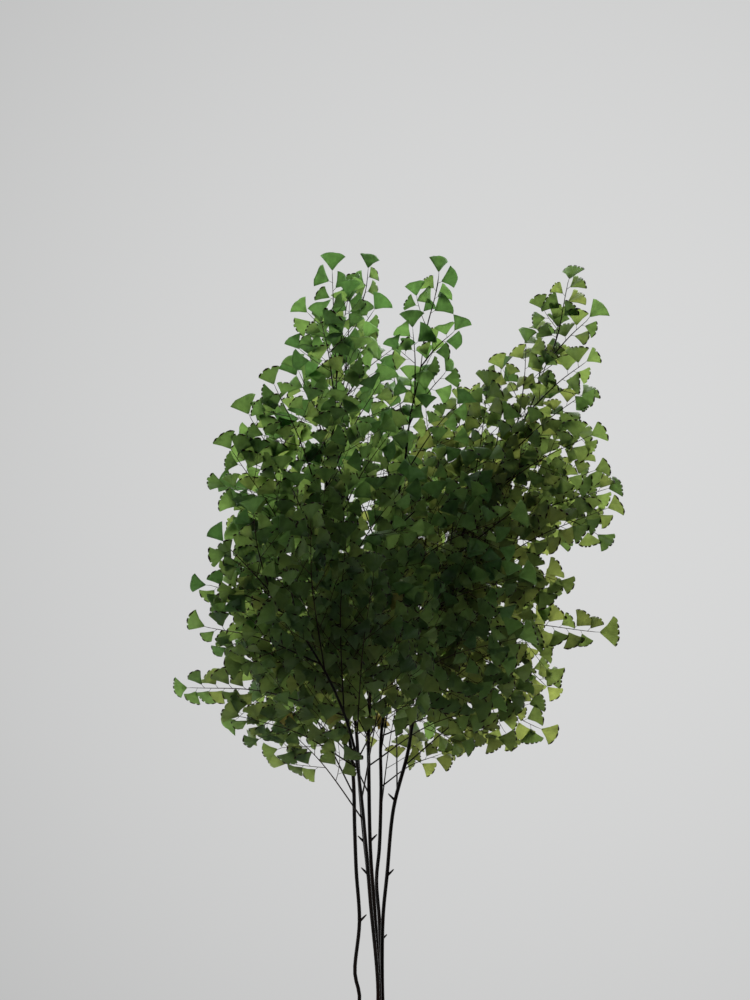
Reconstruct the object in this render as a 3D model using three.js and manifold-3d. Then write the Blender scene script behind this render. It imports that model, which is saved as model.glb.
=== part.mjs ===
// A potted maidenhair fern: six tall fronds on wiry black stalks, standing in the soil of a plain clay pot.
// Millimetres, +Z up. The origin is on the surface that the pot stands on, under its middle, and the side
// that the photograph shows faces -Y.
//
// Each frond is a stalk with pinnae on both sides, each pinna is a rib with smaller ribs on both sides, and
// all of these ribs carry fan-shaped leaflets. A pinna is one thin arched blade, cut to its ribs between
// the leaflets, and the pinnae of a frond are fused to its stalk.

import * as THREE from 'three';
import { mergeVertices } from 'three/addons/utils/BufferGeometryUtils.js';
import Module from 'manifold-3d';

const wasm = await Module();
wasm.setup();

// Pot
const POT_HEIGHT = 118;
const POT_FOOT_RADIUS = 48;
const POT_SHOULDER_RADIUS = 62;
const POT_RIM_RADIUS = 70;
const COLLAR_HEIGHT = 30;
const WALL = 6.5;
const POT_FLOOR = 9;
const FLOOR_FILLET = 3;
const POT_SIDES = 32;
const DRAIN_HOLES = 3;
const DRAIN_RADIUS = 5;
const DRAIN_RING_RADIUS = 24;

// Soil
const SOIL_Z = 105;
const SOIL_MOUND = 3;
const SOIL_LUMPS = 0.8;
const SOIL_CRUMBS = 0.56;
const SOIL_RINGS = 5;
const SOIL_SIDES = 24;

// Gap between pieces that touch, and the shortest edge that a cut or a union leaves
const FIT = 0.3;
const WELD = 0.05;

// Stalks
const STALK_RADIUS = 1.25;
const STALK_TIP_RADIUS = 0.45;
const STALK_SIDES = 5;
const STALK_STEPS = 14;
const STALK_FOOT_Z = 76;
const BARE_SHARE = 0.38;
const STUB_LENGTH = 4.5;
const STUB_RADII = [0.9, 0.4];
const STUB_SIDES = 4;
const HOLE_SIDES = 8;

// Leaflets: their size, how far apart they stand on a rib, and how far they turn from it and tilt, in
// degrees. Here and below, a pair of numbers is the range of a random share.
const LEAFLET_RADIUS = 11.6;
const LEAFLET_SIZES = [0.8, 1.12];
const END_LEAFLET_SIZES = [0.95, 1.2];
const MAIN_LEAFLET_EXTRA = 1;
const MAIN_LEAFLET_LEAD = 4;
const LEAFLET_STALK = 2.6;
const LEAFLET_PITCH = 5;
const LEAFLET_PITCHES = [0.92, 1.08];
const LEAFLET_END_GAP = 4.5;
const LEAFLET_ANGLE = 52;
const LEAFLET_ANGLE_SPREAD = 12;
const LEAFLET_TILT = 26;
const LEAFLET_NOD = 20;

// Sprigs, which are the smaller ribs on both sides of a pinna's rib. Each is as long as half of the rib
// that is left beyond it and a little more, and those on the low share of the rib are shorter. The pinnae
// on the low share of a stalk are bare for longer.
const SPRIG_PITCH = 11.5;
const SPRIG_PITCHES = [0.9, 1.1];
const SPRIG_FIRST = 7;
const SPRIG_FIRST_SHARE = 0.08;
const LOW_PINNAE = 0.3;
const LOW_PINNA_BARE = 0.32;
const SPRIG_END_GAP = 22;
const SPRIG_SHORTEST = 11;
const SPRIG_LONGEST = 62;
const SPRIG_REACH = 0.5;
const SPRIG_REACH_EXTRA = 4;
const SPRIG_LENGTHS = [0.85, 1.15];
const LOW_SPRIGS = 0.3;
const LOW_SPRIG_LENGTH = 0.8;
const SPRIG_ANGLE = 50;
const SPRIG_ANGLE_SPREAD = 8;
const SPRIG_BEND = 14;

// Pinnae: each rises along the stalk first, rolls round its rib, and sways out of its frond's sheet
const PINNA_RISE = 0.08;
const PINNA_ROLL = 16;
const PINNA_SWAY = 0.17;
const PINNA_SWAYS = [0.35, 1];
const PINNA_ARCH = 0.0035;
const TIP_BLADE = 12;
const TIP_OVERLAP = 3;

// Blades and ribs
const BLADE_HALF_THICKNESS = 0.3;
const RIB_HALF_THICKNESS = 0.4;
const RIB_HALF_WIDTH = 0.5;
const SPRIG_HALF_WIDTH = 0.4;
const ROOT_HALF_WIDTH = 0.55;
const RIB_SPAN = 18;

// The fan of a leaflet: angle from its middle in degrees, and share of its radius
const FERTILE_FAN = [[-43, 0.93], [-24, 1.02], [-4, 0.84], [19, 1.0], [43, 0.93]];
const YOUNG_FAN = [[-40, 0.95], [0, 1.02], [40, 0.95]];

// Room that a leaflet and a rib keep clear around them, the gap between a blade and a rib that passes it,
// and the bare foot of a rib
const LEAFLET_ROOM = 9.7;
const RIB_ROOM = 1.2;
const RIB_STEP = 2.5;
const BLADE_GAP = 2;
const BLADE_SLOPE = 0.7;
const RIB_BARE = 8;

// The fronds are nested behind each other: each lies in a curved sheet that leans further out the higher it
// goes, and all the sheets share one wave, so that they never meet.
const SHEET_NEAR = 8;
const SHEET_SLOPE = 0.21;
const WAVE_HEIGHT = 20;
const WAVE_LENGTH = 38;

// One entry for each frond. layer is its place from front (-1) to back (1), foot is where it stands in the
// soil (x, y), and stalk, left and right are places seen from the front (x, z): the line of the stalk, and
// how far each pinna reaches. The pinnae leave the stalk between the shares first and last of its length,
// crown is the length of leafy tip above them, and stubs are old broken pinnae (z, side). A third number of
// a pinna is the share of it that bears sprigs, with two plain rows of leaflets beyond.
const FRONDS = [
  {
    name: 'frond_1',
    layer: -0.6,
    foot: [-15, -6],
    stalk: [[-10, 142], [-13, 162], [-10, 194], [-12, 227], [-13, 256], [-14, 293], [-19, 339],
      [-26, 378], [-29, 427], [-31, 468], [-27, 502], [-24, 536], [-25, 569], [-26, 602]],
    left: [[-82, 398], [-80, 434], [-81, 466], [-92, 504], [-82, 526], [-64, 543], [-50, 554], [-34, 583]],
    right: [[35, 369], [42, 411], [35, 449], [25, 484], [16, 519], [7, 546], [-3, 575], [-15, 597]],
    first: 0.38,
    last: 0.88,
    crown: 48,
    stubs: [[191, 1]],
  },
  {
    name: 'frond_2',
    layer: 1,
    foot: [-6, 11],
    stalk: [[2, 137], [-3, 200], [-8, 247], [-11, 284], [-12, 304], [-15, 338], [-17, 384], [-16, 424],
      [-19, 465], [-23, 507], [-24, 531], [-17, 569], [-10, 600], [-6, 613], [-5, 624]],
    left: [[-88, 350], [-86, 384], [-93, 436], [-92, 479], [-75, 520], [-57, 558], [-35, 593], [-17, 611]],
    right: [[52, 332], [71, 368], [71, 424], [59, 465], [46, 504], [28, 542], [17, 578], [4, 605]],
    first: 0.385,
    last: 0.9,
    crown: 40,
    stubs: [[236, -1]],
  },
  {
    name: 'frond_3',
    layer: -1,
    foot: [-6, -13],
    stalk: [[2, 144], [-3, 211], [-6, 250], [-9, 283], [-14, 316], [-25, 348], [-40, 376], [-57, 401],
      [-73, 420], [-90, 438]],
    left: [[-64, 334], [-91, 336], [-127, 349, 0.55], [-112, 391], [-112, 417, 0.5]],
    right: [[19, 396], [0, 428], [-18, 450], [-40, 462], [-57, 465], [-75, 465]],
    first: 0.48,
    last: 0.9,
    crown: 50,
    stubs: [[224, -1]],
  },
  {
    name: 'frond_4',
    layer: -0.2,
    foot: [0, -3],
    stalk: [[3, 141], [0, 196], [-3, 239], [-4, 289], [-4, 324], [-2, 355], [1, 381], [3, 413], [11, 452],
      [16, 472], [20, 494], [23, 520], [29, 547], [32, 570], [36, 586], [40, 601], [41, 609]],
    left: [[-48, 354], [-54, 389], [-51, 427], [-38, 465], [-26, 497], [-6, 529], [10, 558], [24, 584]],
    right: [[82, 334], [100, 381], [100, 420], [93, 459], [81, 497], [58, 535], [52, 557], [57, 580]],
    first: 0.37,
    last: 0.89,
    crown: 44,
    stubs: [[242, 1]],
  },
  {
    name: 'frond_5',
    layer: 0.6,
    foot: [4, 8],
    stalk: [[4, 138], [3, 186], [1, 214], [3, 237], [4, 273], [4, 308], [9, 339], [20, 371], [41, 404],
      [68, 431], [94, 450], [120, 462], [140, 468], [153, 472]],
    left: [[15, 336], [31, 424], [51, 468], [78, 496], [101, 512], [124, 512], [145, 498]],
    right: [
      [52, 300], [90, 324], [120, 309], [156, 379, 0.6],
      [124, 334], [116, 388], [130, 438], [155, 440, 0.5],
    ],
    first: 0.38,
    last: 0.9,
    crown: 50,
    stubs: [[172, 1]],
  },
  {
    name: 'frond_6',
    layer: 0.2,
    foot: [8, 1],
    stalk: [[5, 139], [5, 188], [8, 222], [12, 263], [21, 298], [25, 321], [33, 353], [45, 402], [62, 452],
      [77, 478], [89, 500], [104, 530], [112, 552], [120, 571], [124, 589], [126, 600], [128, 609]],
    left: [
      [7, 399], [17, 445], [33, 485], [42, 520], [58, 540],
      [76, 548], [86, 562], [101, 578], [112, 586],
    ],
    right: [
      [101, 344], [106, 379], [108, 416], [158, 465, 0.5], [152, 490],
      [147, 512], [143, 540], [144, 561], [148, 592],
    ],
    first: 0.355,
    last: 0.9,
    crown: 44,
    stubs: [[264, -1], [218, 1]],
  },
];

const radians = THREE.MathUtils.degToRad;
const { lerp, clamp, smoothstep } = THREE.MathUtils;

// A fixed draw from 0 to 1 for each pair of numbers, and one from -1 to 1
function draw(seed, number) {
  const x = Math.sin(seed * 12.9898 + number * 78.233) * 43758.5453;
  return x - Math.floor(x);
}

function spread(seed, number) {
  return 2 * draw(seed, number) - 1;
}

function between([low, high], seed, number) {
  return lerp(low, high, draw(seed, number));
}

// How far back a layer's sheet lies at a place seen from the front
function depth(layer, x, z) {
  const away = Math.hypot(x, z - SOIL_Z);
  const rise = smoothstep(away, 120, 280);
  const wave = WAVE_HEIGHT * rise * Math.sin(x / WAVE_LENGTH + 0.8 * Math.sin(z / 60));
  return layer * (SHEET_NEAR + SHEET_SLOPE * away) + wave;
}

function onSheet(layer, [x, z]) {
  return new THREE.Vector3(x, depth(layer, x, z), z);
}

function sheetNormal(layer, point) {
  const step = 2;
  const { x, z } = point;
  const slopeX = (depth(layer, x + step, z) - depth(layer, x - step, z)) / (2 * step);
  const slopeZ = (depth(layer, x, z + step) - depth(layer, x, z - step)) / (2 * step);
  return new THREE.Vector3(slopeX, -1, slopeZ).normalize();
}

function curveThrough(points) {
  return new THREE.CatmullRomCurve3(points, false, 'catmullrom', 0.5);
}

// The arched sheet of one pinna. A place on it is (u along its rib, v to the left of it).
class Pinna {
  constructor(points, layer, seed) {
    this.curve = curveThrough(points);
    this.length = this.curve.getLength();
    const axis = points.at(-1).clone().sub(points[0]).normalize();
    this.normal = sheetNormal(layer, points.at(-1)).projectOnPlane(axis).normalize();
    this.normal.applyAxisAngle(axis, radians(PINNA_ROLL) * spread(seed, 2));
  }

  frame(u) {
    const share = clamp(u / this.length, 0, 1);
    const tangent = this.curve.getTangentAt(share);
    const point = this.curve.getPointAt(share);
    point.addScaledVector(tangent, Math.max(0, u - this.length));
    const left = new THREE.Vector3().crossVectors(this.normal, tangent).normalize();
    return { point, left };
  }

  place(u, v) {
    const { point, left } = this.frame(u);
    return point.addScaledVector(left, v).addScaledVector(this.normal, -PINNA_ARCH * v * v);
  }

  normalAt(u, v) {
    const { left } = this.frame(u);
    return this.normal.clone().addScaledVector(left, 2 * PINNA_ARCH * v).normalize();
  }
}

// A leaflet that is rooted at (u, v) on a pinna and heads off at an angle to its rib, tilted at random
function makeLeaflet(pinna, u, v, heading, seed, radius) {
  const step = 0.5;
  const root = pinna.place(u, v);
  const ahead = pinna.place(u + step * Math.cos(heading), v + step * Math.sin(heading));
  const aside = pinna.place(u - step * Math.sin(heading), v + step * Math.cos(heading));
  const along = ahead.sub(root).normalize();
  const normal = along.clone().cross(aside.sub(root).normalize()).normalize();
  const across = normal.clone().cross(along);
  const tilt = radians(LEAFLET_TILT) * spread(seed, 5);
  const nod = radians(LEAFLET_NOD) * spread(seed, 6);
  across.applyAxisAngle(along, tilt);
  normal.applyAxisAngle(along, tilt);
  along.applyAxisAngle(across, nod);
  normal.applyAxisAngle(across, nod);
  return { root, along, across, normal, radius };
}

// Leaflets on alternate sides of a rib, from its end back to the distance start, and one at its end
function hangLeaflets(pinna, rib, start, seed, firstSide, radius) {
  let number = 0;
  let distance = rib.length - LEAFLET_END_GAP;
  while (distance >= start) {
    const side = (number + firstSide) % 2 === 0 ? 1 : -1;
    const own = seed * 50 + number + 1;
    const { u, v, heading } = rib.line(distance);
    const turned = heading + side * radians(LEAFLET_ANGLE + LEAFLET_ANGLE_SPREAD * spread(own, 7));
    const leaflet = makeLeaflet(pinna, u, v, turned, own, radius * between(LEAFLET_SIZES, own, 8));
    rib.leaflets.push({ ...leaflet, distance, side });
    distance -= LEAFLET_PITCH * between(LEAFLET_PITCHES, own, 9);
    number += 1;
  }
  const { u, v, heading } = rib.line(rib.length);
  const lastRadius = radius * between(END_LEAFLET_SIZES, seed * 50, 8);
  const last = makeLeaflet(pinna, u, v, heading, seed * 50, lastRadius);
  rib.leaflets.push({ ...last, distance: rib.length, side: 0 });
}

// The ribs of a pinna: its own, and the smaller ones on alternate sides of it. height is the pinna's place
// on its stalk, from 0 below to 1 at the tip, and sprigged the share of it that bears sprigs.
function growRibs(pinna, side, seed, height, sprigged) {
  const main = { length: pinna.length, halfWidth: RIB_HALF_WIDTH, leaflets: [], sprigs: [] };
  main.line = (distance) => ({ u: distance, v: 0, heading: 0 });
  const bare = lerp(LOW_PINNA_BARE, SPRIG_FIRST_SHARE, smoothstep(height, 0, LOW_PINNAE));
  let distance = SPRIG_FIRST + bare * pinna.length;
  let number = 0;
  while (distance < Math.min(pinna.length - SPRIG_END_GAP, sprigged * pinna.length)) {
    const ownSide = number % 2 === 0 ? side : -side;
    const rest = pinna.length - distance;
    let length = Math.min(SPRIG_REACH * rest + SPRIG_REACH_EXTRA, SPRIG_LONGEST);
    length *= between(SPRIG_LENGTHS, seed, 20 + number);
    if (distance < LOW_SPRIGS * pinna.length) {
      length *= LOW_SPRIG_LENGTH;
    }
    if (length < SPRIG_SHORTEST) {
      break;
    }
    const from = distance;
    const leave = ownSide * radians(SPRIG_ANGLE + SPRIG_ANGLE_SPREAD * spread(seed, 40 + number));
    const bend = -ownSide * radians(SPRIG_BEND);
    const sprig = { distance, side: ownSide, length, halfWidth: SPRIG_HALF_WIDTH, leaflets: [] };
    sprig.line = (reach) => {
      const turned = bend * (reach / length);
      const mean = leave + turned / 2;
      return { u: from + reach * Math.cos(mean), v: reach * Math.sin(mean), heading: leave + turned };
    };
    hangLeaflets(pinna, sprig, LEAFLET_END_GAP, seed + number + 1, number, LEAFLET_RADIUS);
    main.sprigs.push(sprig);
    distance += SPRIG_PITCH * between(SPRIG_PITCHES, seed, 60 + number);
    number += 1;
  }
  const start = distance - MAIN_LEAFLET_LEAD;
  hangLeaflets(pinna, main, start, seed, number, LEAFLET_RADIUS + MAIN_LEAFLET_EXTRA);
  return main;
}

// Room that ribs and leaflets take up, as balls. A pinna's own ribs may pass close to what it carries.
const taken = [];

function isFree(ball) {
  return taken.every((other) => {
    const related = other.pinna === ball.pinna && !(other.leaflet && ball.leaflet);
    return related || other.centre.distanceTo(ball.centre) > other.radius + ball.radius;
  });
}

function ribBalls(pinna, rib) {
  const count = Math.ceil(rib.length / RIB_STEP);
  return Array.from({ length: count }, (_, i) => {
    const { u, v } = rib.line((rib.length * (i + 1)) / count);
    return { centre: pinna.place(u, v), radius: RIB_ROOM, pinna };
  });
}

// Whether one of these places on a rib lies in the blade of a leaflet, or close to it
function runsThrough(balls, leaflet) {
  return balls.some(({ centre }) => {
    const offset = centre.clone().sub(leaflet.root);
    const along = offset.dot(leaflet.along);
    const across = Math.abs(offset.dot(leaflet.across));
    const above = Math.abs(offset.dot(leaflet.normal));
    const reach = Math.hypot(along - LEAFLET_STALK, across);
    return above < BLADE_GAP && across < BLADE_SLOPE * along + BLADE_GAP
      && along > BLADE_GAP && reach < leaflet.radius + BLADE_GAP;
  });
}

function leafletBall(pinna, leaflet) {
  const centre = leaflet.root.clone().addScaledVector(leaflet.along, LEAFLET_STALK + 0.5 * leaflet.radius);
  return { centre, radius: LEAFLET_ROOM, pinna, leaflet };
}

// Keeps the leaflets and sprigs of a frond that have room: the ends of the pinnae first, then the ends of
// their sprigs, then the leaflets along them.
function thin(pinnae) {
  const claim = (balls) => {
    const free = balls.every(isFree);
    if (free) {
      taken.push(...balls);
    }
    return free;
  };
  const ribs = new Map();
  for (const { pinna, main } of pinnae) {
    const balls = ribBalls(pinna, main);
    ribs.set(main, balls);
    taken.push(...balls, leafletBall(pinna, main.leaflets.at(-1)));
  }
  for (const { pinna, main } of pinnae) {
    main.sprigs = main.sprigs.filter((sprig) => {
      const balls = ribBalls(pinna, sprig);
      const end = sprig.leaflets.at(-1);
      const ends = [main, ...main.sprigs].filter((rib) => ribs.has(rib)).map((rib) => rib.leaflets.at(-1));
      const others = [main, ...main.sprigs].filter((rib) => ribs.has(rib)).map((rib) => ribs.get(rib));
      const clear = !ends.some((other) => runsThrough(balls, other))
        && !others.some((other) => runsThrough(other, end));
      const kept = clear && claim([...balls, leafletBall(pinna, end)]);
      if (kept) {
        ribs.set(sprig, balls);
      }
      return kept;
    });
  }
  for (const { pinna, main } of pinnae) {
    const own = [main, ...main.sprigs];
    for (const rib of own) {
      const others = own.filter((other) => other !== rib).map((other) => ribs.get(other));
      rib.leaflets = rib.leaflets.filter((leaflet) => (
        leaflet.side === 0 || (leaflet.distance > RIB_BARE
          && !others.some((other) => runsThrough(other, leaflet)) && claim([leafletBall(pinna, leaflet)]))));
    }
  }
}

// A sheet of triangles, each vertex with its normal and half its thickness, that is made a closed blade
class Sheet {
  constructor() {
    this.vertices = [];
    this.triangles = [];
  }

  vertex(point, normal, half) {
    this.vertices.push({ point, normal, half });
    return this.vertices.length - 1;
  }

  solid() {
    const count = this.vertices.length;
    const positions = [1, -1].flatMap((face) => this.vertices.flatMap(({ point, normal, half }) => (
      point.clone().addScaledVector(normal, face * half).toArray())));
    const faces = [];
    const edges = new Set(this.triangles.flatMap(([a, b, c]) => [`${a} ${b}`, `${b} ${c}`, `${c} ${a}`]));
    for (const [a, b, c] of this.triangles) {
      faces.push(a, b, c, a + count, c + count, b + count);
    }
    for (const edge of edges) {
      const [a, b] = edge.split(' ').map(Number);
      if (!edges.has(`${b} ${a}`)) {
        faces.push(b, a, a + count, b, a + count, b + count);
      }
    }
    return solidFrom(positions, faces);
  }
}

function solidFrom(positions, faces) {
  return new wasm.Manifold(new wasm.Mesh({
    numProp: 3,
    vertProperties: new Float32Array(positions),
    triVerts: new Uint32Array(faces),
  }));
}

// Adds a rib with all that it carries to a sheet. base holds its two first vertices, right and left.
function layRib(sheet, pinna, rib, base) {
  const edgeVertex = (distance, side) => {
    const { u, v, heading } = rib.line(distance);
    const edgeU = u - side * rib.halfWidth * Math.sin(heading);
    const edgeV = v + side * rib.halfWidth * Math.cos(heading);
    return sheet.vertex(pinna.place(edgeU, edgeV), pinna.normalAt(edgeU, edgeV), RIB_HALF_THICKNESS);
  };
  const edges = {};
  const extend = (side, distance) => {
    const from = edges[side].at(-1).distance;
    const steps = Math.ceil((distance - from) / RIB_SPAN);
    for (let i = 1; i <= steps; i += 1) {
      const reach = lerp(from, distance, i / steps);
      edges[side].push({ distance: reach, index: edgeVertex(reach, side) });
    }
    return edges[side].at(-1).index;
  };
  for (const side of [-1, 1]) {
    const first = base ? base[side] : edgeVertex(0, side);
    edges[side] = [{ distance: 0, index: first }];
    const offshoots = [...rib.leaflets, ...(rib.sprigs ?? [])].filter((offshoot) => offshoot.side === side);
    for (const offshoot of offshoots.sort((a, b) => a.distance - b.distance)) {
      const near = extend(side, offshoot.distance - ROOT_HALF_WIDTH);
      const far = extend(side, offshoot.distance + ROOT_HALF_WIDTH);
      const root = side < 0 ? { [-1]: near, 1: far } : { [-1]: far, 1: near };
      if (offshoot.line) {
        layRib(sheet, pinna, offshoot, root);
      } else {
        layLeaflet(sheet, offshoot, root);
      }
    }
    extend(side, rib.length);
  }
  stitch(sheet, edges[-1], edges[1]);
  const end = rib.leaflets.find((leaflet) => leaflet.side === 0);
  layLeaflet(sheet, end, { [-1]: edges[-1].at(-1).index, 1: edges[1].at(-1).index });
}

// Fills the strip between the right and left edges of a rib with triangles
function stitch(sheet, right, left) {
  let r = 0;
  let l = 0;
  while (r < right.length - 1 || l < left.length - 1) {
    const rightNext = r < right.length - 1 ? right[r + 1].distance : Infinity;
    const leftNext = l < left.length - 1 ? left[l + 1].distance : Infinity;
    if (rightNext <= leftNext) {
      sheet.triangles.push([right[r].index, right[r + 1].index, left[l].index]);
      r += 1;
    } else {
      sheet.triangles.push([right[r].index, left[l + 1].index, left[l].index]);
      l += 1;
    }
  }
}

function layLeaflet(sheet, leaflet, root) {
  const fan = leaflet.side === 0 ? YOUNG_FAN : FERTILE_FAN;
  const rim = fan.map(([angle, share]) => {
    const radius = leaflet.radius * share;
    const point = leaflet.root.clone()
      .addScaledVector(leaflet.along, LEAFLET_STALK + radius * Math.cos(radians(angle)))
      .addScaledVector(leaflet.across, radius * Math.sin(radians(angle)));
    return sheet.vertex(point, leaflet.normal, BLADE_HALF_THICKNESS);
  });
  const middle = (rim.length - 1) / 2;
  for (let i = 0; i < middle; i += 1) {
    sheet.triangles.push([root[-1], rim[i], rim[i + 1]]);
    sheet.triangles.push([root[1], rim[middle + i], rim[middle + i + 1]]);
  }
  sheet.triangles.push([root[-1], rim[middle], root[1]]);
}

// A closed tube of flat sides through a row of points, each with its own radius
function tube(points, radii, sides) {
  const positions = [];
  const faces = [];
  const last = points.length - 1;
  points.forEach((point, i) => {
    const along = points[Math.min(i + 1, last)].clone().sub(points[Math.max(i - 1, 0)]).normalize();
    const across = new THREE.Vector3(0, 1, 0).projectOnPlane(along).normalize();
    for (let k = 0; k < sides; k += 1) {
      const spoke = across.clone().applyAxisAngle(along, (2 * Math.PI * k) / sides);
      positions.push(...point.clone().addScaledVector(spoke, radii[i]).toArray());
    }
  });
  for (let i = 0; i < last; i += 1) {
    for (let k = 0; k < sides; k += 1) {
      const a = i * sides + k;
      const b = i * sides + ((k + 1) % sides);
      faces.push(a, b, b + sides, a, b + sides, a + sides);
    }
  }
  const top = last * sides;
  for (let k = 1; k < sides - 1; k += 1) {
    faces.push(0, k + 1, k, top, top + k, top + k + 1);
  }
  return solidFrom(positions, faces);
}

function stalkCurve(frond) {
  const [x, y] = frond.foot;
  const route = frond.stalk.map((place) => onSheet(frond.layer, place));
  const foot = new THREE.Vector3(x, y, STALK_FOOT_Z);
  const collar = new THREE.Vector3(lerp(x, route[0].x, 0.05), y, SOIL_Z + 3);
  return curveThrough([foot, collar, ...route]);
}

// Points down the middle of a stalk, up to the leafy tip, with its radius at each
function stalkRings(frond) {
  const curve = stalkCurve(frond);
  const end = 1 - (frond.crown - TIP_OVERLAP) / curve.getLength();
  const shares = Array.from({ length: STALK_STEPS + 1 }, (_, i) => (end * i) / STALK_STEPS);
  return {
    points: shares.map((share) => curve.getPointAt(share)),
    radii: shares.map((share) => (
      lerp(STALK_RADIUS, STALK_TIP_RADIUS, clamp((share - BARE_SHARE) / (1 - BARE_SHARE), 0, 1)))),
  };
}

// The plain hole in the soil that a stalk stands in
function stalkHole(frond) {
  const points = stalkRings(frond).points.slice(0, 3);
  points[0].z -= FIT;
  const radius = (STALK_RADIUS + FIT) / Math.cos(Math.PI / HOLE_SIDES);
  return tube(points, points.map(() => radius), HOLE_SIDES);
}

// The pinnae of a frond: its leafy tip, and those on both sides of the stalk
function growPinnae(frond, index, curve) {
  const length = curve.getLength();
  const tipShare = 1 - frond.crown / length;
  const tipPoints = [0, 0.33, 0.67, 1].map((step) => curve.getPointAt(lerp(tipShare, 1, step)));
  const tipSeed = index * 1000 + 900;
  const tipPinna = new Pinna(tipPoints, frond.layer, tipSeed);
  const pinnae = [{ pinna: tipPinna, side: 1, seed: tipSeed, height: 1, sprigged: 1 }];
  for (const [side, reaches] of [[-1, frond.left], [1, frond.right]]) {
    reaches.forEach((place, k) => {
      const seed = index * 1000 + (side > 0 ? 500 : 0) + k * 20;
      const step = (k + (side > 0 ? 0.5 : 0)) / (reaches.length - 0.5);
      const share = lerp(frond.first, frond.last, step);
      const start = curve.getPointAt(share);
      const tip = onSheet(frond.layer, place);
      const sway = PINNA_SWAY * (SHEET_NEAR + SHEET_SLOPE * Math.hypot(tip.x, tip.z - SOIL_Z));
      tip.y += (k % 2 === 0 ? sway : -sway) * between(PINNA_SWAYS, seed, 1);
      const reach = tip.distanceTo(start);
      tip.lerp(start, TIP_BLADE / reach);
      const middle = start.clone().lerp(tip, 0.5);
      middle.addScaledVector(curve.getTangentAt(share), PINNA_RISE * (reach - TIP_BLADE));
      middle.y = lerp(middle.y, depth(frond.layer, middle.x, middle.z), 0.5);
      const pinna = new Pinna([start, middle, tip], frond.layer, seed);
      pinnae.push({ pinna, side, seed, height: step, sprigged: place[2] ?? 1 });
    });
  }
  for (const grown of pinnae) {
    grown.main = growRibs(grown.pinna, grown.side, grown.seed, grown.height, grown.sprigged);
  }
  return pinnae;
}

function frondSolid(frond, index) {
  const curve = stalkCurve(frond);
  const { points, radii } = stalkRings(frond);
  let solid = tube(points, radii, STALK_SIDES);
  const pinnae = growPinnae(frond, index, curve);
  thin(pinnae);
  for (const { pinna, main } of pinnae) {
    const sheet = new Sheet();
    layRib(sheet, pinna, main);
    solid = solid.add(sheet.solid());
  }
  for (const [z, side] of frond.stubs) {
    solid = solid.add(stub(curve, z, side));
  }
  return largest(solid);
}

// What an old pinna left when it broke off: a short thorn that points up and out
function stub(curve, z, side) {
  let share = 0;
  while (curve.getPointAt(share).z < z) {
    share += 0.002;
  }
  const start = curve.getPointAt(share);
  const tip = start.clone().add(new THREE.Vector3(side * STUB_LENGTH, 0, STUB_LENGTH));
  return tube([start, tip], STUB_RADII, STUB_SIDES);
}

function largest(solid) {
  return welded(solid.decompose().sort((a, b) => b.volume() - a.volume())[0]);
}

// Closes every edge shorter than WELD that a cut or a union leaves, where the surface stays whole: the two
// corners then have just two neighbours in common.
function welded(solid) {
  const { vertProperties, triVerts } = solid.getMesh();
  const corner = (i) => new THREE.Vector3().fromArray(vertProperties, 3 * i);
  let faces = [];
  for (let i = 0; i < triVerts.length; i += 3) {
    faces.push([...triVerts.slice(i, i + 3)]);
  }
  const around = (i) => new Set(faces.filter((face) => face.includes(i)).flat());
  const isShort = ([a, b]) => corner(a).distanceTo(corner(b)) < WELD;
  const isSafe = ([a, b]) => [...around(a)].filter((i) => around(b).has(i)).length === 4;
  const sides = ([a, b, c]) => [[a, b], [b, c], [c, a]];
  for (;;) {
    const edge = faces.flatMap(sides).filter(isShort).find(isSafe);
    if (!edge) {
      return solidFrom([...vertProperties], faces.flat());
    }
    faces = faces.map((face) => face.map((i) => (i === edge[1] ? edge[0] : i)))
      .filter((face) => new Set(face).size === 3);
  }
}

function geometryOf(solid) {
  const { vertProperties, triVerts } = solid.getMesh();
  const geometry = new THREE.BufferGeometry();
  geometry.setAttribute('position', new THREE.BufferAttribute(new Float32Array(vertProperties), 3));
  geometry.setIndex(new THREE.BufferAttribute(new Uint32Array(triVerts), 1));
  return geometry;
}

// A closed three.js shape as a solid
function solidOf(geometry) {
  geometry.deleteAttribute('normal');
  geometry.deleteAttribute('uv');
  const merged = mergeVertices(geometry);
  const index = merged.index.array;
  const faces = [];
  for (let i = 0; i < index.length; i += 3) {
    const [a, b, c] = [index[i], index[i + 1], index[i + 2]];
    if (a !== b && b !== c && c !== a) {
      faces.push(a, b, c);
    }
  }
  return solidFrom(merged.attributes.position.array, faces);
}

// The pot's wall and the soil's side are turned round +Z
function turned(profile, sides) {
  const points = profile.map(([radius, z]) => new THREE.Vector2(radius, z));
  return new THREE.LatheGeometry(points, sides).rotateX(Math.PI / 2);
}

// Inner radius of the pot at a height below the collar's step
function boreRadius(z) {
  const top = POT_HEIGHT - COLLAR_HEIGHT;
  return lerp(POT_FOOT_RADIUS, POT_SHOULDER_RADIUS, z / top) - WALL;
}

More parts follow.
